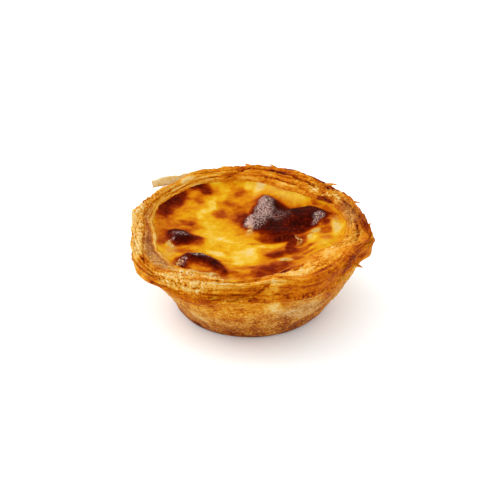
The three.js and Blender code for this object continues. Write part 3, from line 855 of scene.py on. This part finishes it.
def turned_body(profile, steps):
    """A section from pole to pole, spun about the upright axis; each point keeps the number of its row."""
    bm = bmesh.new()
    row_mark = bm.verts.layers.float.new("row")
    chain = [bm.verts.new((reach * MM, 0, height * MM)) for reach, height in profile]
    for number, vertex in enumerate(chain):
        vertex[row_mark] = number
    for lower, upper in zip(chain, chain[1:]):
        bm.edges.new((lower, upper))
    bmesh.ops.spin(
        bm, geom=bm.verts[:] + bm.edges[:], cent=(0, 0, 0), axis=(0, 0, 1), dvec=(0, 0, 0),
        angle=TURN / WEDGES, steps=steps // WEDGES,
    )
    wedge = bm.verts[:] + bm.edges[:] + bm.faces[:]
    for number in range(1, WEDGES):
        copied = bmesh.ops.duplicate(bm, geom=wedge)["geom"]
        corners = [part for part in copied if isinstance(part, bmesh.types.BMVert)]
        turn = Matrix.Rotation(number * TURN / WEDGES, 3, "Z")
        bmesh.ops.rotate(bm, verts=corners, cent=(0, 0, 0), matrix=turn)
    bmesh.ops.remove_doubles(bm, verts=bm.verts[:], dist=WELD)
    bmesh.ops.recalc_face_normals(bm, faces=bm.faces[:])
    return bm


def turned_piece(rows, point_of, steps, name, material):
    """A turned piece from the rows of its section, with its points and the row and azimuth of each."""
    profile = []
    for zone, *numbers in rows:
        reach, height = point_of(zone, *(np.array([float(number)]) for number in (0, *numbers)))[:2]
        profile.append((max(0.0, float(reach[0])), float(height[0])))
    piece = finished(turned_body(profile, steps), name, material)
    row = np.empty(len(piece.data.vertices), np.float32)
    piece.data.attributes["row"].data.foreach_get("value", row)
    points = read_points(piece.data)
    azimuth = np.degrees(np.arctan2(points[:, 1], points[:, 0]))
    return piece, points, np.rint(row).astype(int), azimuth


def case_rows():
    """The case's section from under its base round to its floor: zone, share, layer and stand."""
    rows = [("base", share, 0, 0) for share in (0, 0.35, 0.7, 0.9, 0.97)]
    rows += [("wall", share, 0, 0) for share in np.linspace(0, 1, WALL_ROWS)]
    rows += [("lip", share, 0, 0) for share in (0.2, 0.4, 0.6, 0.8, 0.95)]
    for zone, layers in (("outside", OUTSIDE_LAYERS), ("top", TOP_LAYERS)):
        rows += [(zone, share, layer, stand) for layer in range(layers) for share, stand in LEDGE_PROFILE]
    rows += [("inside", share, 0, 0) for share in (0, 0.04, 0.1, 0.25, 0.5, 0.75, 1)]
    rows += [("floor", share, 0, 0) for share in (0.5, 0)]
    return rows


def case_point(zone, azimuth, share, layer, stand):
    """Reach, height, place on the section and relief of the points of one zone of the case."""
    if zone == "base":
        return share * base_reach(azimuth), 0 * azimuth, -1 + 0 * azimuth, 0 * azimuth
    if zone == "wall":
        reach, height, relief = wall_point(azimuth, share)
        return reach, height, share - 1, relief
    if zone == "lip":
        reach, height, relief = wall_point(azimuth, 1 + 0 * share)
        reach = lerp(reach, lip_reach(azimuth) - 0.2, share ** 1.3)
        return reach, lerp(height, lip_height(azimuth) - 0.1, share), 0.1 * share - 0.1, relief * (1 - share)
    if zone in ("outside", "top"):
        layers, first = (OUTSIDE_LAYERS, 0) if zone == "outside" else (TOP_LAYERS, OUTSIDE_LAYERS)
        place, proud = ledge(azimuth, share, layer, stand, layers, first)
        place = place + (zone == "top")
        drop, lift = grooved(azimuth, place)
        reach, height, facing = rim_path(azimuth, place)
        lumps, crumbs = broken(upright(azimuth, reach, height), azimuth, place)
        proud = proud * painted(LAYERING, azimuth, place, LAYERED)
        offset = (proud - drop + lift + lumps) * smooth((2 - place) / 0.12)
        return *stood_off(reach, height, facing, offset), place, proud - drop + crumbs
    if zone == "inside":
        reach, height = cavity_wall(azimuth, share)
        return reach, height, 2 + 0.4 * share, 0 * azimuth
    return share * FLOOR_REACH, FLOOR_HEIGHT + 0 * azimuth, 2.4 + 0 * azimuth, 0 * azimuth


def pastry_case(material):
    rows = case_rows()
    zones = np.array([row[0] for row in rows])
    numbers = np.array([row[1:] for row in rows], dtype=float)
    piece, points, row, azimuth = turned_piece(
        rows, case_point, CASE_STEPS, "pastry_shell", material)
    place, tone, relief = (np.zeros(len(points)) for _ in range(3))
    for zone in dict.fromkeys(zones):
        here = zones[row] == zone
        share, layer, stand = numbers[row[here]].T
        reach, height, place[here], relief[here] = case_point(zone, azimuth[here], share, layer, stand)
        points[here] = upright(azimuth[here], reach, height)
        own = noise(on_ring(azimuth[here], layer), "layer tone") if zone in ("outside", "top") else 0
        tone[here] = case_tone(azimuth[here], place[here]) + own
    mesh = piece.data
    write_points(mesh, points)
    write_mark(mesh, "tone", tone)
    write_mark(mesh, "relief", relief)
    write_mark(mesh, "dull", painted(np.interp(place, *DULL_BY_PLACE), azimuth, place, DULL))
    write_mark(mesh, "crumbly", painted(np.interp(place, *CRUMBLY_BY_PLACE), azimuth, place, CRUMBLY))
    write_grain(mesh, azimuth, place)
    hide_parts("pastry_case")


# ---------------------------------------------------------------- custard
def off_outline(x, y, outline):
    """Distance from an outline: above 0 inside it, below 0 outside it."""
    corners = np.array(outline)
    nearest = np.full(x.shape, 1e9)
    inside = np.zeros(x.shape, dtype=bool)
    for (ax, ay), (bx, by) in zip(corners, np.roll(corners, -1, axis=0)):
        nearest = np.minimum(nearest, off_line(x, y, ax, ay, bx, by)[0])
        crosses = (ay > y) != (by > y)
        inside ^= crosses & (x < (bx - ax) * (y - ay) / (by - ay + 1e-12) + ax)
    return np.where(inside, nearest, -nearest)


def soft_patch(x, y, cx, cy, long, wide, turn):
    """A soft oval patch by its middle, half length, half width and turn."""
    c, s = math.cos(math.radians(turn)), math.sin(math.radians(turn))
    along, across = c * (x - cx) + s * (y - cy), c * (y - cy) - s * (x - cx)
    return soft_oval(along / long, across / wide)


def custard_skin(x, y):
    """At points of the custard: rise of the skin, its bake with painted highlights, its painted sheen, and
    dried skin with painted glints.
    """
    flat = np.stack([x, y, np.zeros_like(x)], axis=-1)
    wx = x + noise(flat, "skin x")
    wy = y + noise(flat, "skin y")
    rise = CUSTARD_WAVE * (np.sin(0.33 * x + 1) + np.sin(0.41 * y + 0.2 * x)) + noise(flat, "skin waves")
    for *oval, height in SKIN_LUMPS:
        rise = rise + height * soft_patch(wx, wy, *oval)
    tone = CUSTARD_BAKE + noise(flat, "skin tone")
    # Patches of bake; the palest are painted highlights.
    for *oval, target in CUSTARD_BAKE_AND_HIGHLIGHTS:
        tone = lerp(tone, target, soft_patch(wx, wy, *oval))
    for outline, height, dome, edge, bake, halo in BLISTERS:
        within = off_outline(wx, wy, outline)
        rise = rise + height * smooth(within / edge) + dome * smooth(within / (5 * edge))
        glow = np.exp(-np.clip(-within, 0, None) / halo)
        tone = np.maximum(tone, lerp(tone, HALO_BAKE, 0.8 * glow))
        tone = lerp(tone, bake, smooth((within + 0.8 * edge) / (2.0 * edge)))
    for path, wide, height, bakes, skirt in SKIN_FOLDS:
        away, share = off_path(lerp(x, wx, 0.35), lerp(y, wy, 0.35), path)
        half = wide * (0.3 + 0.7 * np.sin(math.pi * np.clip(0.14 + 0.8 * share, 0, 1)) ** 0.6)
        half = half * (1 + noise(flat, "fold width"))
        round_top = np.sqrt(np.clip(1 - (away / (1.2 * half)) ** 2, 0, 1))
        rise = rise + height * round_top * (half / wide)
        tone = np.maximum(tone, lerp(tone, SKIRT_BAKE, smooth((1.3 * half + skirt - away) / (skirt + 0.3))))
        bake = np.interp(share, FOLD_SHARES, bakes)
        tone = lerp(tone, bake, smooth((1.3 * half - away) / (0.6 * half)))
    # Painted sheen on the dark char, and dried skin whose palest crumbs are painted glints.
    sheen, dry_and_glints = (np.clip(sum(amount * soft_patch(wx, wy, *oval) for *oval, amount in patches), 0, 1)
                for patches in (CHAR_SHEEN, DRY_SKIN_AND_GLINTS))
    return rise + DRY_RISE * dry_and_glints, tone, sheen * smooth((tone - 0.72) / 0.15), dry_and_glints


def custard_rows():
    """The custard's section from its underside round to its surface: zone and share."""
    rows = [("underside", 0.0), ("underside", 0.5)]
    rows += [("side", share) for share in (1, 0.75, 0.5, 0.25, 0.1, 0.03)]
    rows += [("surface", share) for share in np.linspace(1, 0, CUSTARD_ROWS)]
    return rows


def custard_point(zone, azimuth, share):
    """Reach and height of the points of one zone of the custard."""
    if zone == "underside":
        return share * (FLOOR_REACH - FIT_GAP), FLOOR_HEIGHT + FIT_GAP + 0 * azimuth
    if zone == "side":
        reach, height = cavity_wall(azimuth, share)
        return reach - FIT_GAP * smooth(share / 0.2), height + np.where(share >= 1, FIT_GAP, 0)
    edge_reach, edge_height = custard_edge(azimuth)
    level = lerp(CUSTARD_EDGE_HEIGHT, edge_height, share) - CUSTARD_DIP * (1 - share ** 3)
    level = level + CUSTARD_MENISCUS * smooth((share - 0.93) / 0.07) ** 2
    return share * (edge_reach + CUSTARD_OVERLAP), level


def custard_filling(material):
    rows = custard_rows()
    zones = np.array([row[0] for row in rows])
    shares = np.array([row[1] for row in rows], dtype=float)
    piece, points, row, azimuth = turned_piece(
        rows, custard_point, CUSTARD_STEPS, "custard_filling", material)
    for zone in dict.fromkeys(zones):
        here = zones[row] == zone
        points[here] = upright(azimuth[here], *custard_point(zone, azimuth[here], shares[row[here]]))
    rise, tone, sheen, dry_and_glints = custard_skin(points[:, 0], points[:, 1])
    on_top = zones[row] == "surface"
    points[:, 2] += np.where(on_top, rise * (1 - shares[row] ** 10), 0)
    write_points(piece.data, points)
    # Marks for the material: bake with painted highlights, painted sheen, and dried skin with painted glints.
    for name, values in (("tone", tone), ("sheen", sheen), ("dry_and_glints", dry_and_glints)):
        write_mark(piece.data, name, values)
    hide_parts("custard")


# ---------------------------------------------------------------- loose sheets, flakes and crumbs
def slab_template(along, across):
    """A plate one unit long, wide and thick, cut up so that it can be bent."""
    bm = bmesh.new()
    bmesh.ops.create_cube(bm, size=1)
    for axis, cuts in ((0, along - 1), (1, across - 1)):
        edges = [edge for edge in bm.edges
                 if abs(edge.verts[0].co[axis] - edge.verts[1].co[axis]) > 0.9]
        bmesh.ops.subdivide_edges(bm, edges=edges, cuts=cuts, use_grid_fill=True)
    return meshed(bm, "template")


def crumb_template():
    bm = bmesh.new()
    bmesh.ops.create_icosphere(bm, subdivisions=1, radius=0.5)
    return meshed(bm, "template")


def copies(template, count):
    """Many copies of a small mesh in one bmesh, with its points as an array of (copy, point, xyz)."""
    bm = bmesh.new()
    for _ in range(count):
        bm.from_mesh(template)
    own = np.empty(3 * len(template.vertices), np.float32)
    template.vertices.foreach_get("co", own)
    bpy.data.meshes.remove(template)
    return bm, np.broadcast_to(own.reshape(1, -1, 3).astype(float), (count, len(own) // 3, 3))


def column(values):
    return np.array(values, dtype=float)[:, None]


def rim_leaves(material):
    """Thin sheets whose ragged free edges stand out of the rim, as cut pastry layers do."""
    rng = random.Random(7)
    leaves = []
    while len(leaves) < LEAF_COUNT:
        at = rng.uniform(-180, 180)
        place = rng.choice((rng.uniform(0.05, 0.95), rng.uniform(0.7, 1.75)))
        if rng.random() > painted(LAYERING, at, place, LAYERED):
            continue
        span = rng.uniform(*LEAF_SPAN)
        proud = rng.uniform(*LEAF_PROUD) * (0.6 if place > 1.2 else 1.0)
        curl = rng.uniform(-LEAF_CURL, LEAF_CURL)
        leaves.append((at, place, span, proud, curl, rng.uniform(*LEAF_THICKNESS), rng.random()))
    bm, local = copies(slab_template(40, 3), LEAF_COUNT)
    at, place, span, proud, curl, thick, own = [column(values) for values in zip(*leaves)]
    along, across, through = local[..., 0] + 0.5, local[..., 1] + 0.5, local[..., 2]
    azimuth = at + span * (along - 0.5)
    ring = on_ring(azimuth, 50 + 9 * own)
    place = place + noise(ring, "leaf place")
    _, lift = grooved(azimuth, place)
    ends = np.sin(math.pi * np.clip(along, 0, 1)) ** 0.45
    ragged = 1 + noise(ring, "leaf waves") + noise(ring, "leaf nicks")
    out = lerp(-LEAF_ROOT, proud * ragged, across) * ends + lift - 0.4 * (1 - ends)
    side = curl * across ** 2 * ends + through * thick * (1 - 0.5 * across)
    side = side + noise(ring, "leaf curl") * across
    points = upright(azimuth, *stood_off(*rim_path(azimuth, place), out, side))
    tone = case_tone(azimuth, place) + 0.24 * (own - 0.5) + 0.16 * (across - 0.6)
    loose_piece(bm, "rim_leaves", material, points, tone, 0.1, azimuth, place + 0.2 * across)


def bent_plate(local, length, width, thick, bow, narrowing):
    """A plate from the origin along +X, ragged and thinner towards its free end, bowed sideways."""
    along = local[..., 0] + 0.5
    ring = np.stack([along * length, 0 * along, 0 * along + 11 * length], axis=-1)
    taper = 1 - narrowing * along ** 2 + noise(ring, "plate width")
    y = local[..., 1] * width * taper + width * noise(ring, "plate sway")
    z = local[..., 2] * thick * (1 - 0.4 * along) + bow * 4 * along * (1 - along)
    z = z + noise(np.stack([along * length, y, 0 * y], axis=-1), "plate curl") * along
    return along * length, y, z


def tilted(x, y, z, lean, heading):
    """Leans a plate up about its root and turns it to its heading, both in degrees."""
    lean, heading = np.radians(lean), np.radians(heading)
    x, z = x * np.cos(lean) - z * np.sin(lean), x * np.sin(lean) + z * np.cos(lean)
    return x * np.cos(heading) - y * np.sin(heading), x * np.sin(heading) + y * np.cos(heading), z


def edge_flakes(material):
    """The larger flakes, rooted in the rim and pointing out of it."""
    bm, local = copies(slab_template(18, 8), len(FLAKES))
    at, height, length, width, lean, turn = [column(values) for values in zip(*FLAKES)]
    plate = bent_plate(local, length + FLAKE_ROOT, 0.65 * width, thick=0.16, bow=0.3, narrowing=0.8)
    points = np.stack(tilted(*plate, lean, at + turn), axis=-1)
    points = points + upright(at, rim_reach(at) - FLAKE_ROOT, height)
    x = points[..., 0]
    loose_piece(bm, "edge_flakes", material, points, 0.5 + 0 * x, 0.1, at + 0 * x, 0.5 * x)


def peeled_strip(material):
    """The long strip that has come away from the rim: two thin sheets side by side, standing on edge."""
    bm, local = copies(slab_template(60, 5), 2)
    sheet = column((0, 1))
    along = local[..., 0] + 0.5
    length = STRIP["length"] * (1 - 0.1 * sheet)
    width = STRIP["width"] * (1.45 - 0.2 * sheet)
    x, y, z = bent_plate(local, length, width, thick=STRIP["thick"], bow=STRIP["bow"], narrowing=0.0)
    z = z + (sheet - 0.5) * (0.4 + 0.2 * along)
    on_edge = math.radians(STRIP["roll"])
    y, z = y * math.cos(on_edge) - z * math.sin(on_edge), y * math.sin(on_edge) + z * math.cos(on_edge)
    points = np.stack(tilted(x, y, z, 0, STRIP["heading"]), axis=-1)
    points = points + upright(STRIP["at"], STRIP["reach"], STRIP["height"])
    tone = 0.12 - 0.08 * along + 0.12 * sheet
    loose_piece(bm, "peeled_strip", material, points, tone, 0.1, 30 * along, local[..., 1] / 3 + sheet)


def rim_crumbs(material):
    """Small dry scales and crumbs that lie half sunk on the crumbly stretches of the rim."""
    rng = random.Random(23)
    weights = [patch[4] for patch in CRUMB_PATCHES]
    crumbs = []
    for _ in range(CRUMB_COUNT):
        at, spread, where, near, _ = rng.choices(CRUMB_PATCHES, weights=weights)[0]
        place = min(max(rng.gauss(where, near), 0.05), 1.9)
        crumbs.append((rng.gauss(at, spread), place, rng.uniform(*CRUMB_SIZE), rng.uniform(0, 180),
                       rng.uniform(*CRUMB_NARROWNESS), rng.uniform(-CRUMB_TILT, CRUMB_TILT)))
    bm, local = copies(crumb_template(), CRUMB_COUNT)
    at, place, size, turn, narrow, tilt = [column(values) for values in zip(*crumbs)]
    _, lift = grooved(at, place)
    c, s = np.cos(np.radians(turn)), np.sin(np.radians(turn))
    wide, deep = local[..., 1] * size * narrow, local[..., 2] * size * 0.4
    round_it = c * local[..., 0] * size - s * wide
    up_it = s * local[..., 0] * size + c * wide
    reach, height = stood_off(*rim_path(at, place), deep + lift + tilt * up_it + 0.1, up_it)
    azimuth = at + np.degrees(round_it / reach)
    points = upright(azimuth, reach, height)
    tone = case_tone(at, place) + 0.3 * (narrow - 0.55) - 0.06 + 0 * reach
    loose_piece(bm, "rim_crumbs", material, points, tone, 0.2, azimuth, place + 0 * azimuth)


# ---------------------------------------------------------------- finishes
# Most of a finish's noise lies within this much of its middle.
NOISE_SWING = 0.2


def colour(shade, light):
    """The colour of a surface that is seen as a shade, from 0 to 255, in a light of the given strength."""
    seen = [value / 255 for value in shade]
    linear = [v / 12.92 if v <= 0.04045 else ((v + 0.055) / 1.055) ** 2.4 for v in seen]
    return tuple(v / light for v in linear) + (1.0,)


class Finish:
    """A material that is put together node by node."""

    def __init__(self, name):
        self.material = bpy.data.materials.new(name)
        self.material.use_nodes = True
        self.tree = self.material.node_tree
        self.tree.nodes.clear()
        self.place = self.add("ShaderNodeTexCoord").outputs["Object"]

    def add(self, kind, **settings):
        node = self.tree.nodes.new(kind)
        for key, value in settings.items():
            setattr(node, key, value)
        return node

    def wire(self, value, socket):
        if isinstance(value, bpy.types.NodeSocket):
            self.tree.links.new(value, socket)
        else:
            socket.default_value = value

    def mark(self, name):
        return self.add("ShaderNodeAttribute", attribute_name=name).outputs["Fac"]

    def points(self, name):
        return self.add("ShaderNodeAttribute", attribute_name=name).outputs["Vector"]

    def noise(self, size, detail=3.0, roughness=0.5, distortion=0.0, where=None):
        """Noise from 0 to 1, with lumps of a size in millimetres."""
        node = self.add("ShaderNodeTexNoise")
        self.wire(self.place if where is None else where, node.inputs["Vector"])
        node.inputs["Scale"].default_value = 1 / (size * MM)
        node.inputs["Detail"].default_value = detail
        node.inputs["Roughness"].default_value = roughness
        node.inputs["Distortion"].default_value = distortion
        return node.outputs["Fac"]

    def sum(self, operation, a, b):
        node = self.add("ShaderNodeMath", operation=operation)
        self.wire(a, node.inputs[0])
        self.wire(b, node.inputs[1])
        return node.outputs[0]

    def plus(self, a, b):
        return self.sum("ADD", a, b)

    def minus(self, a, b):
        return self.sum("SUBTRACT", a, b)

    def times(self, a, b):
        return self.sum("MULTIPLY", a, b)

    def spread(self, value, low, high, to_low=0.0, to_high=1.0):
        """Turns low to high into to_low to to_high, with soft ends."""
        node = self.add("ShaderNodeMapRange", interpolation_type="SMOOTHSTEP")
        for socket, number in zip(node.inputs, (value, low, high, to_low, to_high)):
            self.wire(number, socket)
        return node.outputs[0]

    def wobble(self, value, size, amount, detail=3.0, where=None):
        """Adds noise of a size to a value, mostly within an amount up and down."""
        lumps = self.minus(self.noise(size, detail, 0.55, 0.0, where), 0.5)
        return self.plus(value, self.times(lumps, amount / NOISE_SWING))

    def ramp(self, value, stops, light):
        """Shades by value, from stops of a value and a shade."""
        node = self.add("ShaderNodeValToRGB")
        elements = node.color_ramp.elements
        while len(elements) < len(stops):
            elements.new(0.5)
        for element, (at, shade) in zip(elements, stops):
            element.position = at
            element.color = colour(shade, light)
        self.wire(value, node.inputs["Fac"])
        return node.outputs["Color"]

    def mixed(self, share, a, b):
        node = self.add("ShaderNodeMix", data_type="RGBA")
        for name, value in (("Factor", share), ("A", a), ("B", b)):
            socket = next(s for s in node.inputs if s.name == name and s.enabled)
            self.wire(value, socket)
        return next(s for s in node.outputs if s.enabled)

    def bump(self, height, depth, normal=None):
        """Relief of a depth in millimetres."""
        node = self.add("ShaderNodeBump")
        node.inputs["Distance"].default_value = depth * MM
        self.wire(height, node.inputs["Height"])
        if normal is not None:
            self.wire(normal, node.inputs["Normal"])
        return node.outputs["Normal"]

    def surface(self, **sockets):
        shader = self.add("ShaderNodeBsdfPrincipled")
        for name, value in sockets.items():
            self.wire(value, shader.inputs[name.replace("_", " ")])
        out = self.add("ShaderNodeOutputMaterial")
        self.tree.links.new(shader.outputs[0], out.inputs["Surface"])
        return self.material


# The studio's light on the smooth custard, and on the pastry, whose rough relief shades itself.
CUSTARD_LIGHT = 1.62
PASTRY_LIGHT = 1.4
PASTRY_SHADES = (
    (0.00, (255, 228, 168)),
    (0.18, (252, 202, 104)),
    (0.38, (242, 166, 36)),
    (0.55, (220, 122, 2)),
    (0.72, (184, 80, 0)),
    (0.86, (136, 40, 0)),
    (1.00, (74, 18, 0)),
)
DULL_SHADES = (
    (0.00, (240, 198, 142)),
    (0.35, (214, 156, 92)),
    (0.60, (172, 104, 48)),
    (1.00, (100, 44, 14)),
)
CUSTARD_SHADES = (
    (0.00, (250, 216, 146)),
    (0.09, (249, 205, 74)),
    (0.22, (241, 181, 22)),
    (0.40, (226, 137, 8)),
    (0.56, (192, 87, 3)),
    (0.71, (142, 38, 1)),
    (0.85, (86, 12, 2)),
    (1.00, (46, 8, 4)),
)
# Painted sheen on the char, tan of dried skin, and the cream of its crumbs and painted glints.
SHEEN_SHADE = (226, 186, 172)
TAN_SHADE = (236, 186, 96)
CREAM_SHADE = (255, 208, 152)


def baked_pastry():
    """Dry baked pastry, cream through caramel to dark brown: painted shade in its cuts, painted highlights on
    its raised layers.
    """
    finish = Finish("baked_pastry")
    along_rim = finish.points("grain")
    tone = finish.wobble(finish.mark("tone"), 6.0, 0.08)
    tone = finish.wobble(tone, 1.5, 0.13, where=along_rim)
    tone = finish.wobble(tone, 1.0, 0.1)
    specks = finish.minus(finish.noise(0.7, 3.0, 0.6), 0.5)
    specks = finish.times(specks, finish.spread(finish.mark("crumbly"), 0.0, 1.0, 0.35, 1.3))
    # Painted shade, darker in the cuts between layers, and painted highlights, lighter on the raised layers
    # and crumbs.
    crack_shade = finish.spread(finish.mark("relief"), 0.05, -0.45, 0.0, 0.16)
    peak_highlight = finish.spread(finish.mark("relief"), 0.1, 0.7, 0.0, -0.2)
    pits = finish.spread(finish.noise(1.0, 2.0), 0.44, 0.32, 0.0, 0.5)
    crumbs = finish.spread(finish.noise(0.8, 2.0), 0.5, 0.64, 0.0, -0.16)
    broken_up = finish.times(finish.mark("crumbly"), finish.plus(pits, crumbs))
    for change in (specks, crack_shade, peak_highlight, broken_up):
        tone = finish.plus(tone, change)
    shade = finish.ramp(tone, PASTRY_SHADES, PASTRY_LIGHT)
    shade = finish.mixed(finish.mark("dull"), shade, finish.ramp(tone, DULL_SHADES, PASTRY_LIGHT))
    crisp = finish.noise(0.4, 4.0, 0.65)
    flaky = finish.noise(1.1, 4.0, 0.6, 0.6)
    streaky = finish.noise(1.2, 4.0, 0.6, 0.3, along_rim)
    normal = finish.bump(crisp, 0.25)
    normal = finish.bump(streaky, 0.38, normal)
    normal = finish.bump(flaky, 0.45, normal)
    return finish.surface(
        Base_Color=shade,
        Roughness=finish.spread(flaky, 0.3, 0.7, 0.4, 0.62),
        Normal=normal,
        Specular_IOR_Level=0.03,
        Subsurface_Weight=0.1,
        Subsurface_Radius=(1.0, 0.45, 0.12),
        Subsurface_Scale=0.0012,
    )


def baked_custard():
    """Glossy custard, yellow to orange, with leathery scorched skin where it is dark, and painted sheen,
    glints and highlights.
    """
    finish = Finish("baked_custard")
    tone = finish.wobble(finish.mark("tone"), 3.2, 0.09, 2.0)
    tone = finish.wobble(tone, 1.3, 0.05)
    tone = finish.wobble(tone, 0.5, 0.03)
    scorched = finish.spread(tone, 0.62, 0.85)
    dry_and_glints = finish.plus(finish.noise(0.8, 3.0, 0.7), finish.times(finish.mark("dry_and_glints"), 0.1))
    dry_and_glints = finish.times(finish.spread(dry_and_glints, 0.5, 0.7), finish.spread(finish.mark("dry_and_glints"), 0.3, 0.9))
    # Fine noise that breaks up the painted sheen and the painted glints.
    glint_grain = finish.noise(0.5, 3.0, 0.75)
    # Painted glints: lighter specks on the grain of the scorched skin.
    char_glints = finish.times(finish.spread(glint_grain, 0.5, 0.74, 0.0, 0.34), finish.spread(tone, 0.7, 0.9))
    lighter = finish.plus(char_glints, finish.times(dry_and_glints, 0.7))
    shade = finish.ramp(finish.minus(tone, lighter), CUSTARD_SHADES, CUSTARD_LIGHT)
    # Painted sheen of the key light on the char, grey with pale glints; the coat follows it.
    sheen = finish.plus(glint_grain, finish.times(finish.mark("sheen"), 0.2))
    sheen = finish.times(finish.spread(sheen, 0.48, 0.74), finish.spread(finish.mark("sheen"), 0.0, 0.3))
    tan = finish.times(finish.spread(finish.mark("dry_and_glints"), 0.0, 0.6, 0.0, 0.6), finish.noise(1.6, 2.0))
    tan = finish.times(tan, finish.spread(tone, 0.5, 0.7, 1.0, 0.0))
    # Cream crumbs of dried skin, whose palest spots are painted glints.
    cream = finish.spread(dry_and_glints, 0.3, 1.2)
    for share, over in ((sheen, SHEEN_SHADE), (tan, TAN_SHADE), (cream, CREAM_SHADE)):
        shade = finish.mixed(share, shade, colour(over, CUSTARD_LIGHT))
    wrinkles = finish.noise(0.75, 4.0, 0.62, 0.4)
    height = finish.times(wrinkles, finish.spread(scorched, 0.0, 1.0, 0.12, 1.0))
    normal = finish.bump(finish.plus(height, finish.times(dry_and_glints, 0.8)), 0.34)
    normal = finish.bump(finish.noise(2.6, 2.0), 0.22, normal)
    return finish.surface(
        Base_Color=shade,
        Roughness=finish.spread(scorched, 0.0, 1.0, 0.28, 0.36),
        Normal=normal,
        Coat_Weight=finish.times(sheen, 0.4),
        Coat_Roughness=0.26,
        Specular_IOR_Level=0.006,
        Subsurface_Weight=0.15,
        Subsurface_Radius=(1.0, 0.5, 0.1),
        Subsurface_Scale=0.0016,
    )


def white_floor():
    finish = Finish("white_floor")
    return finish.surface(Base_Color=(0.91, 0.975, 1.0, 1.0), Roughness=0.75, Specular_IOR_Level=0.1)


# ---------------------------------------------------------------- studio
CAMERA_ELEVATION = 31.0
CAMERA_DISTANCE = 0.444
CAMERA_AIM = Vector((0, 0, 0.0178))
CAMERA_CLIP = 0.01
LENS = 100.0
# Softboxes: name, place in metres, width across and watts.
SOFTBOXES = (
    ("key", (-0.85, 0.42, 0.66), 1.3, 9.2),
    ("fill", (0.75, -0.35, 0.75), 1.3, 1.6),
)
LIGHT_AIM = (0, 0, 0.02)
WORLD_COLOUR = (1.0, 0.99, 0.98, 1.0)
WORLD_STRENGTH = 1.28
FLOOR_HALF_WIDTH = 3.0


def aim(thing, target):
    thing.rotation_euler = (Vector(target) - thing.location).to_track_quat("-Z", "Y").to_euler()


def add_camera():
    camera = placed("camera", bpy.data.cameras.new("camera"))
    lift = math.radians(CAMERA_ELEVATION)
    camera.location = CAMERA_AIM + CAMERA_DISTANCE * Vector((0, -math.cos(lift), math.sin(lift)))
    aim(camera, CAMERA_AIM)
    camera.data.lens = LENS
    camera.data.clip_start = CAMERA_CLIP
    bpy.context.scene.camera = camera


def add_softbox(name, place, size, watts):
    lamp = bpy.data.lights.new(name, "AREA")
    lamp.shape = "DISK"
    lamp.size = size
    lamp.energy = watts
    light = placed(name, lamp)
    light.location = place
    aim(light, LIGHT_AIM)


def add_floor():
    bm = bmesh.new()
    bmesh.ops.create_grid(bm, x_segments=8, y_segments=8, size=FLOOR_HALF_WIDTH)
    floor = placed("floor", meshed(bm, "floor"))
    floor.data.materials.append(white_floor())


def add_world():
    world = bpy.data.worlds.new("studio")
    world.use_nodes = True
    background = world.node_tree.nodes["Background"]
    background.inputs["Color"].default_value = WORLD_COLOUR
    background.inputs["Strength"].default_value = WORLD_STRENGTH
    bpy.context.scene.world = world


def set_studio():
    add_camera()
    add_floor()
    add_world()
    for softbox in SOFTBOXES:
        add_softbox(*softbox)
    view = bpy.context.scene.view_settings
    view.view_transform = "Standard"
    view.look = "None"
    view.exposure = 0.0


set_studio()
pastry = baked_pastry()
custard = baked_custard()
pastry_case(pastry)
custard_filling(custard)
rim_leaves(pastry)
edge_flakes(pastry)
peeled_strip(pastry)
rim_crumbs(pastry)
